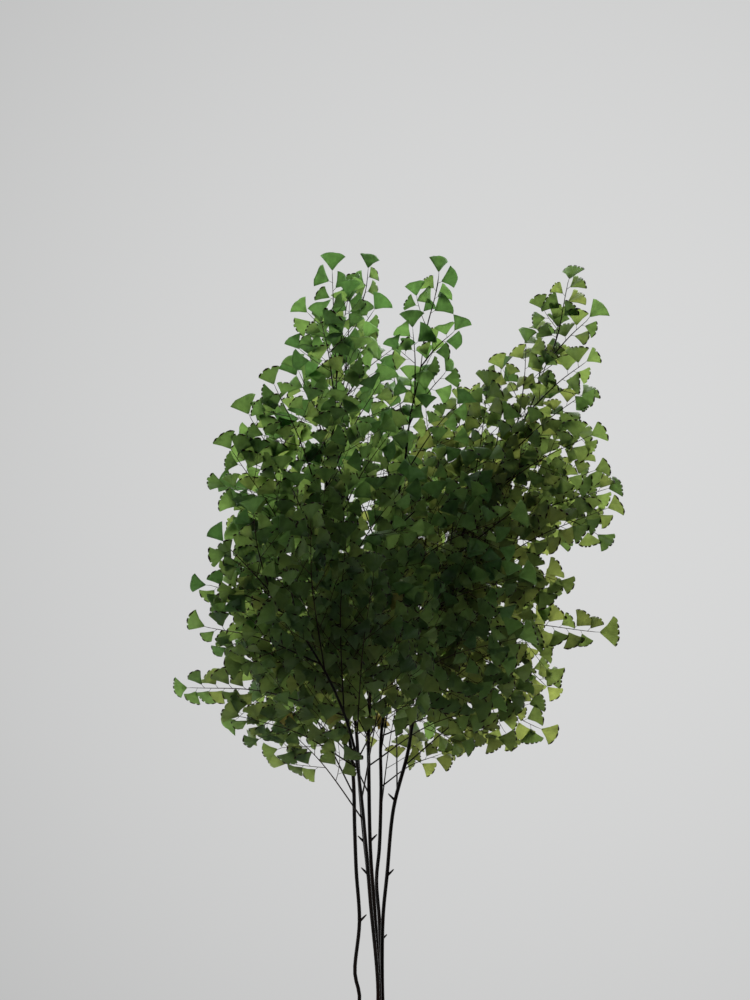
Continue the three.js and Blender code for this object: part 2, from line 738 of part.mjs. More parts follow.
function potSolid() {
  const shoulder = POT_HEIGHT - COLLAR_HEIGHT;
  const mouth = boreRadius(POT_HEIGHT);
  const pot = solidOf(turned([
    [0, 0],
    [POT_FOOT_RADIUS - 1.5, 0],
    [POT_FOOT_RADIUS, 1.5],
    [POT_SHOULDER_RADIUS, shoulder],
    [POT_RIM_RADIUS - 3, shoulder + 1],
    [POT_RIM_RADIUS - 2, shoulder + 3],
    [POT_RIM_RADIUS, POT_HEIGHT - 2.5],
    [POT_RIM_RADIUS - 0.8, POT_HEIGHT - 0.7],
    [POT_RIM_RADIUS - 2.5, POT_HEIGHT],
    [mouth + 1.5, POT_HEIGHT],
    [mouth, POT_HEIGHT - 1.5],
    [boreRadius(POT_FLOOR + FLOOR_FILLET), POT_FLOOR + FLOOR_FILLET],
    [boreRadius(POT_FLOOR) - FLOOR_FILLET, POT_FLOOR],
    [0, POT_FLOOR],
  ], POT_SIDES));
  let drained = pot;
  for (let i = 0; i < DRAIN_HOLES; i += 1) {
    const angle = (2 * Math.PI * (i + 0.25)) / DRAIN_HOLES;
    const hole = new THREE.CylinderGeometry(DRAIN_RADIUS, DRAIN_RADIUS, 3 * POT_FLOOR, 12);
    hole.rotateX(Math.PI / 2);
    hole.translate(DRAIN_RING_RADIUS * Math.cos(angle), DRAIN_RING_RADIUS * Math.sin(angle), POT_FLOOR / 2);
    drained = drained.subtract(solidOf(hole));
  }
  return drained;
}

// The uneven top of the soil: a low mound with lumps
function soilHeight(x, y) {
  const share = Math.hypot(x, y) / boreRadius(SOIL_Z);
  const broad = Math.sin(x / 5.1 + 1.3) * Math.cos(y / 4.3);
  const fine = Math.sin((x + y) / 3.1) * Math.cos((x - y) / 6.7);
  return SOIL_Z + SOIL_MOUND * (1 - share * share) + SOIL_LUMPS * broad + SOIL_CRUMBS * fine;
}

function soilSolid() {
  const bottom = POT_FLOOR + FIT;
  const side = boreRadius(SOIL_Z) - FIT;
  const profile = [
    [0, bottom],
    [boreRadius(POT_FLOOR) - FLOOR_FILLET - FIT, bottom],
    [boreRadius(POT_FLOOR + FLOOR_FILLET) - FIT, POT_FLOOR + FLOOR_FILLET + FIT],
  ];
  for (let ring = SOIL_RINGS; ring >= 0; ring -= 1) {
    profile.push([(side * ring) / SOIL_RINGS, SOIL_Z]);
  }
  const plug = turned(profile, SOIL_SIDES);
  const place = plug.attributes.position;
  for (let i = 0; i < place.count; i += 1) {
    if (place.getZ(i) > SOIL_Z - 1) {
      place.setZ(i, soilHeight(place.getX(i), place.getY(i)));
    }
  }
  let soil = solidOf(plug);
  for (const frond of FRONDS) {
    soil = soil.subtract(stalkHole(frond));
  }
  return largest(soil);
}

function meshOf(name, solid, material) {
  const geometry = geometryOf(solid);
  geometry.computeVertexNormals();
  const mesh = new THREE.Mesh(geometry, material);
  mesh.name = name;
  return mesh;
}

const fern = new THREE.Group();
const clay = new THREE.MeshStandardMaterial({ color: '#b9704f', roughness: 0.9, metalness: 0 });
const earth = new THREE.MeshStandardMaterial({ color: '#33261c', roughness: 1, metalness: 0 });

fern.add(meshOf('pot', potSolid(), clay));
fern.add(meshOf('soil', soilSolid(), earth));
FRONDS.forEach((frond, index) => {
  const green = new THREE.MeshStandardMaterial({ color: '#48692f', roughness: 0.6, metalness: 0 });
  fern.add(meshOf(frond.name, frondSolid(frond, index + 1), green));
});

export default fern;
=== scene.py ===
"""The looks of a potted maidenhair fern: its leaflets, ribs and stalks, the soil and the clay pot.

The fronds grow by the rule that shaped their solids, with the full number of leaflets. Lengths in this
file are in millimetres up to the point where a mesh is written, and the mesh is in metres.
"""

import math
from bisect import bisect_right

import bmesh
import bpy
from bpy.props import FloatProperty, FloatVectorProperty, IntProperty, PointerProperty
from mathutils import Matrix, Quaternion, Vector, noise


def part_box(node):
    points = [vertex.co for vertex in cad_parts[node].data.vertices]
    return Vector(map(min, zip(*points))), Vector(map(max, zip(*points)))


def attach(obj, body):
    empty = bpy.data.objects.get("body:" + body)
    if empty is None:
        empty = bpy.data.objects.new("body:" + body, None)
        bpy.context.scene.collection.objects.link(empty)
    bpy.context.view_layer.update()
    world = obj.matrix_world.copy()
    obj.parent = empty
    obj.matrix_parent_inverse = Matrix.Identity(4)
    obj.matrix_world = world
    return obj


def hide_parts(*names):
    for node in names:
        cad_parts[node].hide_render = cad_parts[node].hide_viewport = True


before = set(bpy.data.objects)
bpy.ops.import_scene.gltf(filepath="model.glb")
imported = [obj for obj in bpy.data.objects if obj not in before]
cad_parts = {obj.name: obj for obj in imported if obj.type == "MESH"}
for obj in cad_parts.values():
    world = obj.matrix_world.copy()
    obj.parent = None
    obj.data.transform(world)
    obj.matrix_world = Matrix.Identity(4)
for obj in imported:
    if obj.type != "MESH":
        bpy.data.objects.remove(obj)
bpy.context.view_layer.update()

bl_info = {
    "name": "Potted Maidenhair Fern",
    "version": (1, 0, 0),
    "blender": (4, 5, 0),
    "location": "View3D > Sidebar > Fern",
    "description": "Builds the fronds, soil and clay pot of a maidenhair fern",
    "category": "Object",
}

MM = 0.001
BODY = "root"

# Heights that the fronds and the soil share with the pot
POT_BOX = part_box("pot")
SOIL_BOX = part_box("soil")
SOIL_Z = 105.0
STALK_FOOT_Z = 76.0

# Stalks and ribs
STALK_RADIUS = 1.25
STALK_TIP_RADIUS = 0.45
RIB_RADIUS = 0.58
RIB_TIP_RADIUS = 0.2
SPRIG_RADIUS = 0.25
SPRIG_TIP_RADIUS = 0.16
BARE_SHARE = 0.38
TIP_THINNING = 0.6
TIP_THINNED = (0.72, 0.98)
STALK_SIDES = 9
RIB_SIDES = 5
STUB_LENGTH = 4.5
STUB_RADII = (0.9, 0.7, 0.35)
LINE_STEP = 5.0

# Leaflets on a rib. A pair of numbers is the range of a random draw, and angles are in degrees. Age is from
# 0 for the youngest leaflets to 1, and adds up from a leaflet's place, its frond and a draw.
LEAFLET_RADIUS = 11.6
LEAFLET_SIZES = (0.8, 1.12)
END_LEAFLET_SIZES = (0.95, 1.2)
YOUNGEST_SIZE = 0.86
AGE_WEIGHT = 0.5
AGE_SPREAD = 0.12
RIPE_WEIGHT = 0.6
RIPE_MIDDLE = 0.15
MAIN_LEAFLET_EXTRA = 1
MAIN_LEAFLET_LEAD = 4
LEAFLET_STALK = 2.6
LEAFLET_PITCH = 5.0
LEAFLET_PITCHES = (0.92, 1.08)
LEAFLET_END_GAP = 4.5
LEAFLET_ANGLE = 52
LEAFLET_ANGLE_SPREAD = 12
LEAFLET_TILT = 26
LEAFLET_NOD = 20

# Sprigs on a pinna's rib
SPRIG_PITCH = 11.5
SPRIG_PITCHES = (0.9, 1.1)
SPRIG_FIRST = 7
SPRIG_FIRST_SHARE = 0.08
LOW_PINNAE = 0.3
LOW_PINNA_BARE = 0.32
SPRIG_END_GAP = 22
SPRIG_SHORTEST = 11
SPRIG_LONGEST = 62
SPRIG_REACH = 0.5
SPRIG_REACH_EXTRA = 4
SPRIG_LENGTHS = (0.85, 1.15)
LOW_SPRIGS = 0.3
LOW_SPRIG_LENGTH = 0.8
SPRIG_ANGLE = 50
SPRIG_ANGLE_SPREAD = 8
SPRIG_BEND = 14

# Pinnae, and the curved sheets that nest the fronds behind each other
PINNA_RISE = 0.08
PINNA_ROLL = 16
PINNA_SWAY = 0.17
PINNA_SWAYS = (0.35, 1)
PINNA_ARCH = 0.0035
TIP_BLADE = 12
SHEET_NEAR = 8
SHEET_SLOPE = 0.21
WAVE_HEIGHT = 20
WAVE_LENGTH = 38
WAVE_STARTS = (120, 280)
WAVE_SWING = 0.8
WAVE_RISE = 60

# Leaflets' shapes: the rows of the stalk (share of its length, radius), how thin the rim is and how far it
# folds at a spore pad, and the rows of the blade (share of its radius, share of a pad's darkness)
LEAFLET_STALK_ROWS = ((0.0, 0.2), (0.5, 0.15), (1.0, 0.12))
RIM_THICKNESS = 0.7
RIM_FOLD = 0.28
FAN_RINGS = ((0.06, 0.0), (0.5, 0.0), (0.88, 0.22), (1.0, 1.0))
YOUNG_COLUMNS = 8
PAD_CHANCE = 0.85
VEINS = 11.0

# The pot's roundings, drain holes and salts, and the distance from one throwing line to the next
POT_SIDES = 144
FOOT_ROUND = 1.8
COLLAR_ROUND = 2.2
COLLAR_TAPER = 2.0
LIP_ROUND = 2.6
MOUTH_ROUND = 1.8
HOLES = 3
HOLE_RING = 24.0
HOLE_RADII = (5.2, 4.9)
SALT_BAND_Z = 86.0
THROWING_LINES = 5.13

# The soil's plug and its crumbs
PLUG_SIDES = 120
PLUG_RINGS = 34
CRUMB_SHAPES = 20
CRUMB_SCALES = (0.35, 2.1)
GRAIN_SIZE = 1.15

# Each softbox: name, place, aim, size in metres, share of the power, and opening in degrees
SOFTBOXES = (
    ("softbox_back", (0.35, 1.15, 1.25), (0, 0, 0.42), 1.2, 1.0, 180),
    ("softbox_front", (-1.3, -1.0, 1.3), (0, 0, 0.42), 0.5, 0.012, 180),
    ("softbox_low", (-0.4, -0.9, 0.3), (0, 0, 0.06), 0.3, 0.006, 26),
)
WALL_TINT = (0.995, 1.0, 0.998, 1.0)
LIGHT_TINT = (0.97, 0.99, 1.0, 1.0)

# A noise hardly leaves this range, and a wave texture turns by this many radians over a length of 1
NOISE_RANGE = (0.3, 0.7)
WAVE_PACE = 20
FULL_TURN = 6.28

# The kinds of nodes that are added most often, and the kind of each attribute on the meshes
MATH = "ShaderNodeMath"
RANGE = "ShaderNodeMapRange"
MIX = "ShaderNodeMix"
RANDOM = "FunctionNodeRandomValue"
ATTRIBUTES = {
    "thick": "FLOAT", "stout": "BOOLEAN", "leafy": "BOOLEAN", "turn": "FLOAT_VECTOR", "size": "FLOAT",
    "kind": "INT", "age": "FLOAT", "wiry": "BOOLEAN", "top": "BOOLEAN", "mineral": "BOOLEAN",
}

# One entry for each frond, as in its solid. layer is its place from front (-1) to back (1), foot is where
# it stands in the soil (x, y), and stalk, left and right are places seen from the front (x, z). The pinnae
# leave the stalk between the shares first and last of its length, crown is the length of leafy tip above
# them, and stubs are old broken pinnae (z, side). A third number of a pinna is the share of it that bears
# sprigs, with two plain rows of leaflets beyond. ripe says how old the leaflets look, from 0 to 1.
FRONDS = (
    dict(
        name="frond_1", layer=-0.6, foot=(-15, -6), first=0.38, last=0.88, crown=48, ripe=0.25,
        stubs=((191, 1),),
        stalk=((-10, 142), (-13, 162), (-10, 194), (-12, 227), (-13, 256), (-14, 293), (-19, 339),
               (-26, 378), (-29, 427), (-31, 468), (-27, 502), (-24, 536), (-25, 569), (-26, 602)),
        left=((-82, 398), (-80, 434), (-81, 466), (-92, 504), (-82, 526), (-64, 543), (-50, 554),
              (-34, 583)),
        right=((35, 369), (42, 411), (35, 449), (25, 484), (16, 519), (7, 546), (-3, 575), (-15, 597)),
    ),
    dict(
        name="frond_2", layer=1, foot=(-6, 11), first=0.385, last=0.9, crown=40, ripe=0.3,
        stubs=((236, -1),),
        stalk=((2, 137), (-3, 200), (-8, 247), (-11, 284), (-12, 304), (-15, 338), (-17, 384), (-16, 424),
               (-19, 465), (-23, 507), (-24, 531), (-17, 569), (-10, 600), (-6, 613), (-5, 624)),
        left=((-88, 350), (-86, 384), (-93, 436), (-92, 479), (-75, 520), (-57, 558), (-35, 593),
              (-17, 611)),
        right=((52, 332), (71, 368), (71, 424), (59, 465), (46, 504), (28, 542), (17, 578), (4, 605)),
    ),
    dict(
        name="frond_3", layer=-1, foot=(-6, -13), first=0.48, last=0.9, crown=50, ripe=0.4,
        stubs=((224, -1),),
        stalk=((2, 144), (-3, 211), (-6, 250), (-9, 283), (-14, 316), (-25, 348), (-40, 376), (-57, 401),
               (-73, 420), (-90, 438)),
        left=((-64, 334), (-91, 336), (-127, 349, 0.55), (-112, 391), (-112, 417, 0.5)),
        right=((19, 396), (0, 428), (-18, 450), (-40, 462), (-57, 465), (-75, 465)),
    ),
    dict(
        name="frond_4", layer=-0.2, foot=(0, -3), first=0.37, last=0.89, crown=44, ripe=0.2,
        stubs=((242, 1),),
        stalk=((3, 141), (0, 196), (-3, 239), (-4, 289), (-4, 324), (-2, 355), (1, 381), (3, 413),
               (11, 452), (16, 472), (20, 494), (23, 520), (29, 547), (32, 570), (36, 586), (40, 601),
               (41, 609)),
        left=((-48, 354), (-54, 389), (-51, 427), (-38, 465), (-26, 497), (-6, 529), (10, 558), (24, 584)),
        right=((82, 334), (100, 381), (100, 420), (93, 459), (81, 497), (58, 535), (52, 557), (57, 580)),
    ),
    dict(
        name="frond_5", layer=0.6, foot=(4, 8), first=0.38, last=0.9, crown=50, ripe=0.75,
        stubs=((172, 1),),
        stalk=((4, 138), (3, 186), (1, 214), (3, 237), (4, 273), (4, 308), (9, 339), (20, 371), (41, 404),
               (68, 431), (94, 450), (120, 462), (140, 468), (153, 472)),
        left=((15, 336), (31, 424), (51, 468), (78, 496), (101, 512), (124, 512), (145, 498)),
        right=((52, 300), (90, 324), (120, 309), (156, 379, 0.6), (124, 334), (116, 388), (130, 438),
               (155, 440, 0.5)),
    ),
    dict(
        name="frond_6", layer=0.2, foot=(8, 1), first=0.355, last=0.9, crown=44, ripe=0.6,
        stubs=((264, -1), (218, 1)),
        stalk=((5, 139), (5, 188), (8, 222), (12, 263), (21, 298), (25, 321), (33, 353), (45, 402),
               (62, 452), (77, 478), (89, 500), (104, 530), (112, 552), (120, 571), (124, 589),
               (126, 600), (128, 609)),
        left=((7, 399), (17, 445), (33, 485), (42, 520), (58, 540), (76, 548), (86, 562), (101, 578),
              (112, 586)),
        right=((101, 344), (106, 379), (108, 416), (158, 465, 0.5), (152, 490), (147, 512), (143, 540),
               (144, 561), (148, 592)),
    ),
)


def lerp(low, high, share):
    return low + (high - low) * share


def clamp(value, low=0.0, high=1.0):
    return min(max(value, low), high)


def smooth(value, low, high):
    share = clamp((value - low) / (high - low))
    return share * share * (3 - 2 * share)


def draw(seed, number):
    """A fixed draw from 0 to 1 for each pair of numbers."""
    value = math.sin(seed * 12.9898 + number * 78.233) * 43758.5453
    return value - math.floor(value)


def spread(seed, number):
    return 2 * draw(seed, number) - 1


def between(limits, seed, number):
    return lerp(limits[0], limits[1], draw(seed, number))


class Curve:
    """A smooth line through points, walked by its length."""

    STEPS = 200

    def __init__(self, points):
        first, second, before, last = points[0], points[1], points[-2], points[-1]
        self.points = [2 * first - second, *points, 2 * last - before]
        self.reach = [0.0]
        here = self.point(0)
        for step in range(1, self.STEPS + 1):
            there = self.point(step / self.STEPS)
            self.reach.append(self.reach[-1] + (there - here).length)
            here = there
        self.length = self.reach[-1]

    def point(self, t):
        spans = len(self.points) - 3
        place = clamp(t) * spans
        span = min(int(place), spans - 1)
        w = place - span
        a, b, c, d = self.points[span:span + 4]
        leave, arrive = 0.5 * (c - a), 0.5 * (d - b)
        return (b + leave * w + (3 * (c - b) - 2 * leave - arrive) * w ** 2
                + (2 * (b - c) + leave + arrive) * w ** 3)

    def even(self, share):
        target = clamp(share) * self.length
        step = min(bisect_right(self.reach, target) - 1, self.STEPS - 1)
        part = (target - self.reach[step]) / max(self.reach[step + 1] - self.reach[step], 1e-9)
        return (step + part) / self.STEPS

    def at(self, share):
        return self.point(self.even(share))

    def tangent(self, share):
        t = self.even(share)
        return (self.point(t + 0.001) - self.point(t - 0.001)).normalized()


def depth(layer, x, z):
    """How far back a layer's sheet lies at a place seen from the front."""
    away = math.hypot(x, z - SOIL_Z)
    wave = math.sin(x / WAVE_LENGTH + WAVE_SWING * math.sin(z / WAVE_RISE))
    return layer * (SHEET_NEAR + SHEET_SLOPE * away) + WAVE_HEIGHT * smooth(away, *WAVE_STARTS) * wave


def on_sheet(layer, place):
    x, z = place[:2]
    return Vector((x, depth(layer, x, z), z))


def sheet_normal(layer, point):
    step = 2
    x, z = point.x, point.z
    slope_x = (depth(layer, x + step, z) - depth(layer, x - step, z)) / (2 * step)
    slope_z = (depth(layer, x, z + step) - depth(layer, x, z - step)) / (2 * step)
    return Vector((slope_x, -1, slope_z)).normalized()


def flattened(vector, axis):
    """The part of a vector square to an axis, at length 1."""
    return (vector - axis * vector.dot(axis)).normalized()


class Pinna:
    """The arched sheet of one pinna. A place on it is u along its rib and v to the left of it."""

    def __init__(self, points, layer, seed):
        self.curve = Curve(points)
        self.length = self.curve.length
        axis = (points[-1] - points[0]).normalized()
        self.normal = flattened(sheet_normal(layer, points[-1]), axis)
        self.normal.rotate(Quaternion(axis, math.radians(PINNA_ROLL) * spread(seed, 2)))

    def place(self, u, v):
        share = clamp(u / self.length)
        tangent = self.curve.tangent(share)
        point = self.curve.at(share) + tangent * max(0, u - self.length)
        left = self.normal.cross(tangent).normalized()
        return point + left * v - self.normal * (PINNA_ARCH * v * v)


class Rib:
    """A pinna's own rib or a sprig on it. line(distance) gives u, v and the heading."""

    def __init__(self, pinna, length, line):
        self.pinna = pinna
        self.length = length
        self.line = line

    def points(self):
        count = max(3, math.ceil(self.length / LINE_STEP))
        return [self.pinna.place(*self.line(self.length * i / count)[:2]) for i in range(count + 1)]


def leaflet(rib, distance, turned, seed, radius, age):
    """A leaflet's root and axes: it heads off at an angle to its rib, tilted at random."""
    pinna = rib.pinna
    u, v, heading = rib.line(distance)
    heading += turned
    step = 0.5
    root = pinna.place(u, v)
    ahead = pinna.place(u + step * math.cos(heading), v + step * math.sin(heading))
    aside = pinna.place(u - step * math.sin(heading), v + step * math.cos(heading))
    along = (ahead - root).normalized()
    normal = along.cross((aside - root).normalized()).normalized()
    across = normal.cross(along)
    tilt = Quaternion(along, math.radians(LEAFLET_TILT) * spread(seed, 5))
    across.rotate(tilt)
    normal.rotate(tilt)
    nod = Quaternion(across, math.radians(LEAFLET_NOD) * spread(seed, 6))
    along.rotate(nod)
    normal.rotate(nod)
    return dict(root=root, along=along, across=across, normal=normal, radius=radius, seed=seed, age=age)


def leaflets_on(rib, start, seed, first_side, radius, age):
    """Leaflets on alternate sides of a rib, from its end back to start, and one at its end."""
    found = []
    number = 0
    distance = rib.length - LEAFLET_END_GAP
    while distance >= start:
        side = 1 if (number + first_side) % 2 == 0 else -1
        own = seed * 50 + number + 1
        turned = side * math.radians(LEAFLET_ANGLE + LEAFLET_ANGLE_SPREAD * spread(own, 7))
        size = radius * between(LEAFLET_SIZES, own, 8)
        found.append(leaflet(rib, distance, turned, own, size, age(distance)))
        distance -= LEAFLET_PITCH * between(LEAFLET_PITCHES, own, 9)
        number += 1
    size = radius * between(END_LEAFLET_SIZES, seed * 50, 8)
    found.append(leaflet(rib, rib.length, 0.0, seed * 50, size, age(rib.length)))
    return found


def grow_pinna(pinna, side, seed, height, sprigged):
    """The ribs and leaflets of a pinna. height is its place on the stalk, from 0 below to 1 at the tip, and
    sprigged the share of it that bears sprigs."""

    def age_at(u):
        """From 1 low on the frond and near its stalk to 0 at the tips."""
        return clamp(1 - 0.5 * height - 0.5 * clamp(u / pinna.length) ** 1.5)

    main = Rib(pinna, pinna.length, lambda distance: (distance, 0.0, 0.0))
    ribs, leaflets = [(main, RIB_RADIUS, RIB_TIP_RADIUS)], []
    bare = lerp(LOW_PINNA_BARE, SPRIG_FIRST_SHARE, smooth(height, 0, LOW_PINNAE))
    distance = SPRIG_FIRST + bare * pinna.length
    number = 0
    while distance < min(pinna.length - SPRIG_END_GAP, sprigged * pinna.length):
        own_side = side if number % 2 == 0 else -side
        length = min(SPRIG_REACH * (pinna.length - distance) + SPRIG_REACH_EXTRA, SPRIG_LONGEST)
        length *= between(SPRIG_LENGTHS, seed, 20 + number)
        if distance < LOW_SPRIGS * pinna.length:
            length *= LOW_SPRIG_LENGTH
        if length < SPRIG_SHORTEST:
            break
        leave = own_side * math.radians(SPRIG_ANGLE + SPRIG_ANGLE_SPREAD * spread(seed, 40 + number))
        bend = -own_side * math.radians(SPRIG_BEND)

        def line(reach, start=distance, leave=leave, bend=bend, length=length):
            turned = bend * reach / length
            mean = leave + turned / 2
            return start + reach * math.cos(mean), reach * math.sin(mean), leave + turned

        sprig = Rib(pinna, length, line)
        ribs.append((sprig, SPRIG_RADIUS, SPRIG_TIP_RADIUS))

        def age(reach, start=distance, length=length):
            return clamp(age_at(start + 0.7 * reach) - 0.15 * reach / length)

        leaflets += leaflets_on(sprig, LEAFLET_END_GAP, seed + number + 1, number, LEAFLET_RADIUS, age)
        distance += SPRIG_PITCH * between(SPRIG_PITCHES, seed, 60 + number)
        number += 1
    start = distance - MAIN_LEAFLET_LEAD
    leaflets += leaflets_on(main, start, seed, number, LEAFLET_RADIUS + MAIN_LEAFLET_EXTRA, age_at)
    return ribs, leaflets


def stalk_curve(frond):
    x, y = frond["foot"]
    route = [on_sheet(frond["layer"], place) for place in frond["stalk"]]
    foot = Vector((x, y, STALK_FOOT_Z))
    collar = Vector((lerp(x, route[0].x, 0.05), y, SOIL_Z + 3))
    return Curve([foot, collar, *route])


def pinnae_of(frond, index, curve):
    """Each pinna of a frond with its side, seed, height and sprigged share: the tip, then both sides."""
    layer = frond["layer"]
    tip_share = 1 - frond["crown"] / curve.length
    tip_points = [curve.at(lerp(tip_share, 1, step)) for step in (0, 0.33, 0.67, 1)]
    tip_seed = index * 1000 + 900
    yield Pinna(tip_points, layer, tip_seed), 1, tip_seed, 1.0, 1.0
    for side, reaches in ((-1, frond["left"]), (1, frond["right"])):
        for k, place in enumerate(reaches):
            seed = index * 1000 + (500 if side > 0 else 0) + k * 20
            step = (k + (0.5 if side > 0 else 0)) / (len(reaches) - 0.5)
            share = lerp(frond["first"], frond["last"], step)
            start = curve.at(share)
            tip = on_sheet(layer, place)
            sway = PINNA_SWAY * (SHEET_NEAR + SHEET_SLOPE * math.hypot(tip.x, tip.z - SOIL_Z))
            tip.y += (sway if k % 2 == 0 else -sway) * between(PINNA_SWAYS, seed, 1)
            reach = (tip - start).length
            tip = tip.lerp(start, TIP_BLADE / reach)
            middle = start.lerp(tip, 0.5) + curve.tangent(share) * (PINNA_RISE * (reach - TIP_BLADE))
            middle.y = lerp(middle.y, depth(layer, middle.x, middle.z), 0.5)
            sprigged = place[2] if len(place) > 2 else 1.0
            yield Pinna([start, middle, tip], layer, seed), side, seed, step, sprigged


def grow_frond(frond, index):
    """All lines of a frond (points, radii, stout) and all its leaflets."""
    curve = stalk_curve(frond)
    lines, leaflets = [], []
    count = math.ceil(curve.length / LINE_STEP)
    shares = [i / count for i in range(count + 1)]
    radii = [lerp(STALK_RADIUS, STALK_TIP_RADIUS, clamp((share - BARE_SHARE) / (1 - BARE_SHARE)))
             * (1 - TIP_THINNING * smooth(share, *TIP_THINNED)) for share in shares]
    lines.append(([curve.at(share) for share in shares], radii, True))
    for z, side in frond["stubs"]:
        share = next(share for share in shares if curve.at(share).z >= z)
        start = curve.at(share)
        tip = start + Vector((side * STUB_LENGTH, 0, STUB_LENGTH))
        lines.append(([start, start.lerp(tip, 0.6), tip], STUB_RADII, True))
    for pinna, side, seed, height, sprigged in pinnae_of(frond, index, curve):
        ribs, found = grow_pinna(pinna, side, seed, height, sprigged)
        for rib, thick, thin in ribs:
            points = rib.points()
            last = len(points) - 1
            lines.append((points, [lerp(thick, thin, i / last) for i in range(last + 1)], False))
        for each in found:
            each["radius"] *= lerp(YOUNGEST_SIZE, 1, smooth(each["age"], 0, 0.6))
            ripeness = RIPE_WEIGHT * (frond["ripe"] - RIPE_MIDDLE) + AGE_SPREAD * spread(each["seed"], 11)
            each["age"] = clamp(AGE_WEIGHT * each["age"] + ripeness)
        leaflets += found
    return lines, leaflets


def linear(code):
    """An sRGB hex colour as linear values."""
    parts = [int(code[i:i + 2], 16) / 255 for i in (1, 3, 5)]
    return tuple(c / 12.92 if c <= 0.04045 else ((c + 0.055) / 1.055) ** 2.4 for c in parts)


def paint(colour):
    """A colour setting or a hex colour as the four values of a socket."""
    return (*(linear(colour) if isinstance(colour, str) else colour), 1.0)


def add(tree, kind, inputs=(), give=0, **settings):
    """Adds a node with its settings and gives one of its outputs, or the node itself for None.

    inputs holds values and links, in order or by number or name. A list puts several links on one input.
    """
    node = tree.nodes.new(kind)
    for name, value in settings.items():
        setattr(node, name, value)
    for name, value in inputs.items() if isinstance(inputs, dict) else enumerate(inputs):
        socket = node.inputs[name]
        for part in value if isinstance(value, list) else [value]:
            if isinstance(part, bpy.types.NodeSocket):
                tree.links.new(part, socket)
            else:
                socket.default_value = part
    return node if give is None else node.outputs[give]


def new_material(name, *grains):
    """A material with its tree, the place on the piece, and a noise for each grain.

    A grain is the width of its blotches in millimetres, its detail and its roughness.
    """
    material = bpy.data.materials.new(name)
    material.use_nodes = True
    tree = material.node_tree
    tree.nodes.clear()
    place = add(tree, "ShaderNodeTexCoord", give="Object")
    noises = [add(tree, "ShaderNodeTexNoise", {
        "Vector": place, "Scale": 1 / (width * MM), "Detail": detail, "Roughness": roughness})
        for width, detail, roughness in grains]
    return material, tree, place, *noises


def coated(tree, colour, *coats):
    """A colour under coats of others, each with its share and its colour. The share is a link, or what a
    Map Range is given to work it out."""
    for share, coat in coats:
        if isinstance(share, tuple):
            share = add(tree, RANGE, share)
        colour = add(tree, MIX, {0: share, 6: colour, 7: paint(coat)}, 2, data_type="RGBA")
    return colour


def finish_material(material, colour, roughness, ior, gloss=0.5, relief=(), strength=0.0, depth=0.0,
                    glow=None):
    """Adds the shader to a material and gives the material.

    roughness is a number, or a noise with what it makes of its range. relief is what stands out, each with
    its weight, depth is in millimetres, and glow is the colour of the light that comes through.
    """
    tree = material.node_tree
    if isinstance(roughness, tuple):
        grain, *limits = roughness
        roughness = add(tree, RANGE, (grain, *NOISE_RANGE, *limits))
    height, normal = 0.0, {}
    for part, weight in relief:
        height = add(tree, MATH, (part, weight, height), operation="MULTIPLY_ADD")
    if relief:
        normal["Normal"] = add(tree, "ShaderNodeBump", {
            "Height": height, "Strength": strength, "Distance": depth * MM})
    surface = add(tree, "ShaderNodeBsdfPrincipled", {
        "Base Color": colour, "Roughness": roughness, "IOR": ior, "Specular IOR Level": gloss, **normal})
    if glow is not None:
        light = add(tree, "ShaderNodeBsdfTranslucent", {"Color": glow, **normal})
        surface = add(tree, "ShaderNodeMixShader", (0.5, surface, light))
    add(tree, "ShaderNodeOutputMaterial", {"Surface": surface}, None)
    return material


